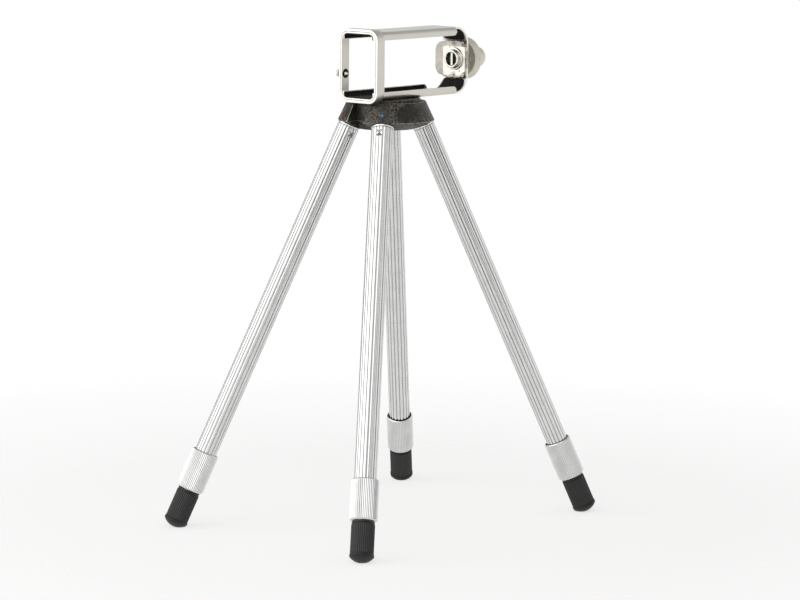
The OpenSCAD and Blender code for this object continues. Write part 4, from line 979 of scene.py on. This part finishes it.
# Floor: a white sheet under the stand; it isn't part of the object.
# It takes the object's shadow near the feet and fades into the white background further out.
# Its white share is clear to the eye, so feet that are drawn out below it, and the underside, still show.
floor_r, shadow_r, fade_r = 3.0, 0.16, 0.42
angle = np.linspace(0, 2 * np.pi, 64, endpoint=False)
reach = np.array([0.0, shadow_r, fade_r, floor_r])[:, None] / MM
floor_points = np.stack([reach * np.cos(angle), reach * np.sin(angle), np.zeros((4, 64))], axis=-1)


def white_where_seen(tree):
    """One where the camera, a reflection or a transmitted ray looks, so that all see the same white."""
    path = add(tree, "ShaderNodeLightPath", {})
    seen = add(tree, "ShaderNodeMath", {0: path.outputs["Is Camera Ray"], 1: path.outputs["Is Glossy Ray"]},
               operation="MAXIMUM")
    return add(tree, "ShaderNodeMath", {0: seen.outputs[0], 1: path.outputs["Is Transmission Ray"]},
               operation="MAXIMUM").outputs[0]


def paper_white():
    """White background paper: matt and even, with soft shadows; the white room shows through further out."""
    material, tree, shader, here = start_material("white_paper")
    feed(tree, shader, {"Base Color": linear("#f4f3f1"), "Roughness": 0.9, "Specular IOR Level": 0.2})
    far = spread(tree, add(tree, "ShaderNodeVectorMath", {0: here}, operation="LENGTH").outputs["Value"],
                 0.7, 1.0, shadow_r, fade_r)
    share = product(tree, far, white_where_seen(tree))
    clear = add(tree, "ShaderNodeBsdfTransparent", {})
    blend = add(tree, "ShaderNodeMixShader", {0: share, 1: shader.outputs[0], 2: clear.outputs[0]})
    tree.links.new(blend.outputs[0], tree.nodes["Material Output"].inputs["Surface"])
    return material


floor = surface("floor", [floor_points], False, True)
floor.data.flip_normals()
floor.data.materials.append(paper_white())

# Light: a white room with a grey ceiling, a large soft lamp on the left and a weaker one in front.
# Two dark cards stand out of the picture, so that bright metal has something dark to show.
world = bpy.data.worlds.new("white_room")
bpy.context.scene.world = world
world.use_nodes = True
room = world.node_tree
way = add(room, "ShaderNodeSeparateXYZ", {"Vector": add(room, "ShaderNodeTexCoord", {}).outputs["Generated"]})
ceiling = spread(room, way.outputs["Z"], 1.0, 0.4, 0.25, 0.75)
feed(room, room.nodes["Background"], {"Color": (1, 1, 1, 1),
                                      "Strength": spread(room, white_where_seen(room), 0.62, ceiling)})


def soft_lamp(name, place_mm, target_mm, size_mm, watts):
    """Square area lamp that faces a point of the object."""
    data = bpy.data.lights.new(name, "AREA")
    data.size, data.energy = size_mm * MM, watts
    lamp = bpy.data.objects.new(name, data)
    lamp.location = Vector(place_mm) * MM
    lamp.rotation_mode = "QUATERNION"
    lamp.rotation_quaternion = (Vector(target_mm) - Vector(place_mm)).to_track_quat("-Z", "Y")
    bpy.context.scene.collection.objects.link(lamp)


def card_points(azimuth, half_width, height, distance):
    """Upright flat card that faces the object: its corners lie to both sides of a point at an azimuth."""
    a = math.radians(azimuth)
    middle = np.array([math.cos(a), math.sin(a)]) * distance
    side = np.array([-math.sin(a), math.cos(a)]) * half_width
    low, high = np.array([*(middle - side), 0]), np.array([*(middle + side), 0])
    return np.array([[low, high], [low + (0, 0, height), high + (0, 0, height)]])


lamp_aim = (0, 0, 120)
soft_lamp("lamp_left", (-850, 480, 600), lamp_aim, size_mm=1100, watts=5)
soft_lamp("lamp_front", (-900, -500, 900), lamp_aim, size_mm=900, watts=3)
card_height, card_distance = 500, 900
card_paper, card_tree, card_shader, _ = start_material("black_card")
feed(card_tree, card_shader, {"Base Color": linear("#1c1b1a"), "Roughness": 0.9})
for name, azimuth, half_width in [("card_right", 250, 330), ("card_back", 88, 280)]:
    card = surface(name, [card_points(azimuth, half_width, card_height, card_distance)], False, False)
    card.data.materials.append(card_paper)
    card.visible_camera = False

# Camera: a long lens, a little above the stand and turned to its front left, as in the photograph.
view_turn, view_drop, view_roll = math.radians(40.79), math.radians(8.16), math.radians(0.54)
view_distance, view_height, view_shift, lens_mm, sensor_mm = 1647.34, 101.95, 7.04, 162.0, 36.0
ahead = Vector((math.cos(view_turn) * math.cos(view_drop), math.sin(view_turn) * math.cos(view_drop),
                -math.sin(view_drop)))
right = Vector((math.sin(view_turn), -math.cos(view_turn), 0))
up = right.cross(ahead)
target = Vector((0, 0, view_height)) + right * view_shift
tilted_right = right * math.cos(view_roll) + up * math.sin(view_roll)
tilted_up = up * math.cos(view_roll) - right * math.sin(view_roll)
camera_data = bpy.data.cameras.new("camera")
camera_data.lens, camera_data.sensor_width, camera_data.sensor_fit = lens_mm, sensor_mm, "HORIZONTAL"
camera_data.clip_start, camera_data.clip_end = 0.1, 20
camera = bpy.data.objects.new("camera", camera_data)
turned_axes = Matrix((tilted_right, tilted_up, -ahead)).transposed().to_4x4()
camera.matrix_world = Matrix.Translation((target - ahead * view_distance) * MM) @ turned_axes
bpy.context.scene.collection.objects.link(camera)
bpy.context.scene.camera = camera
bpy.context.scene.view_settings.view_transform = "Standard"
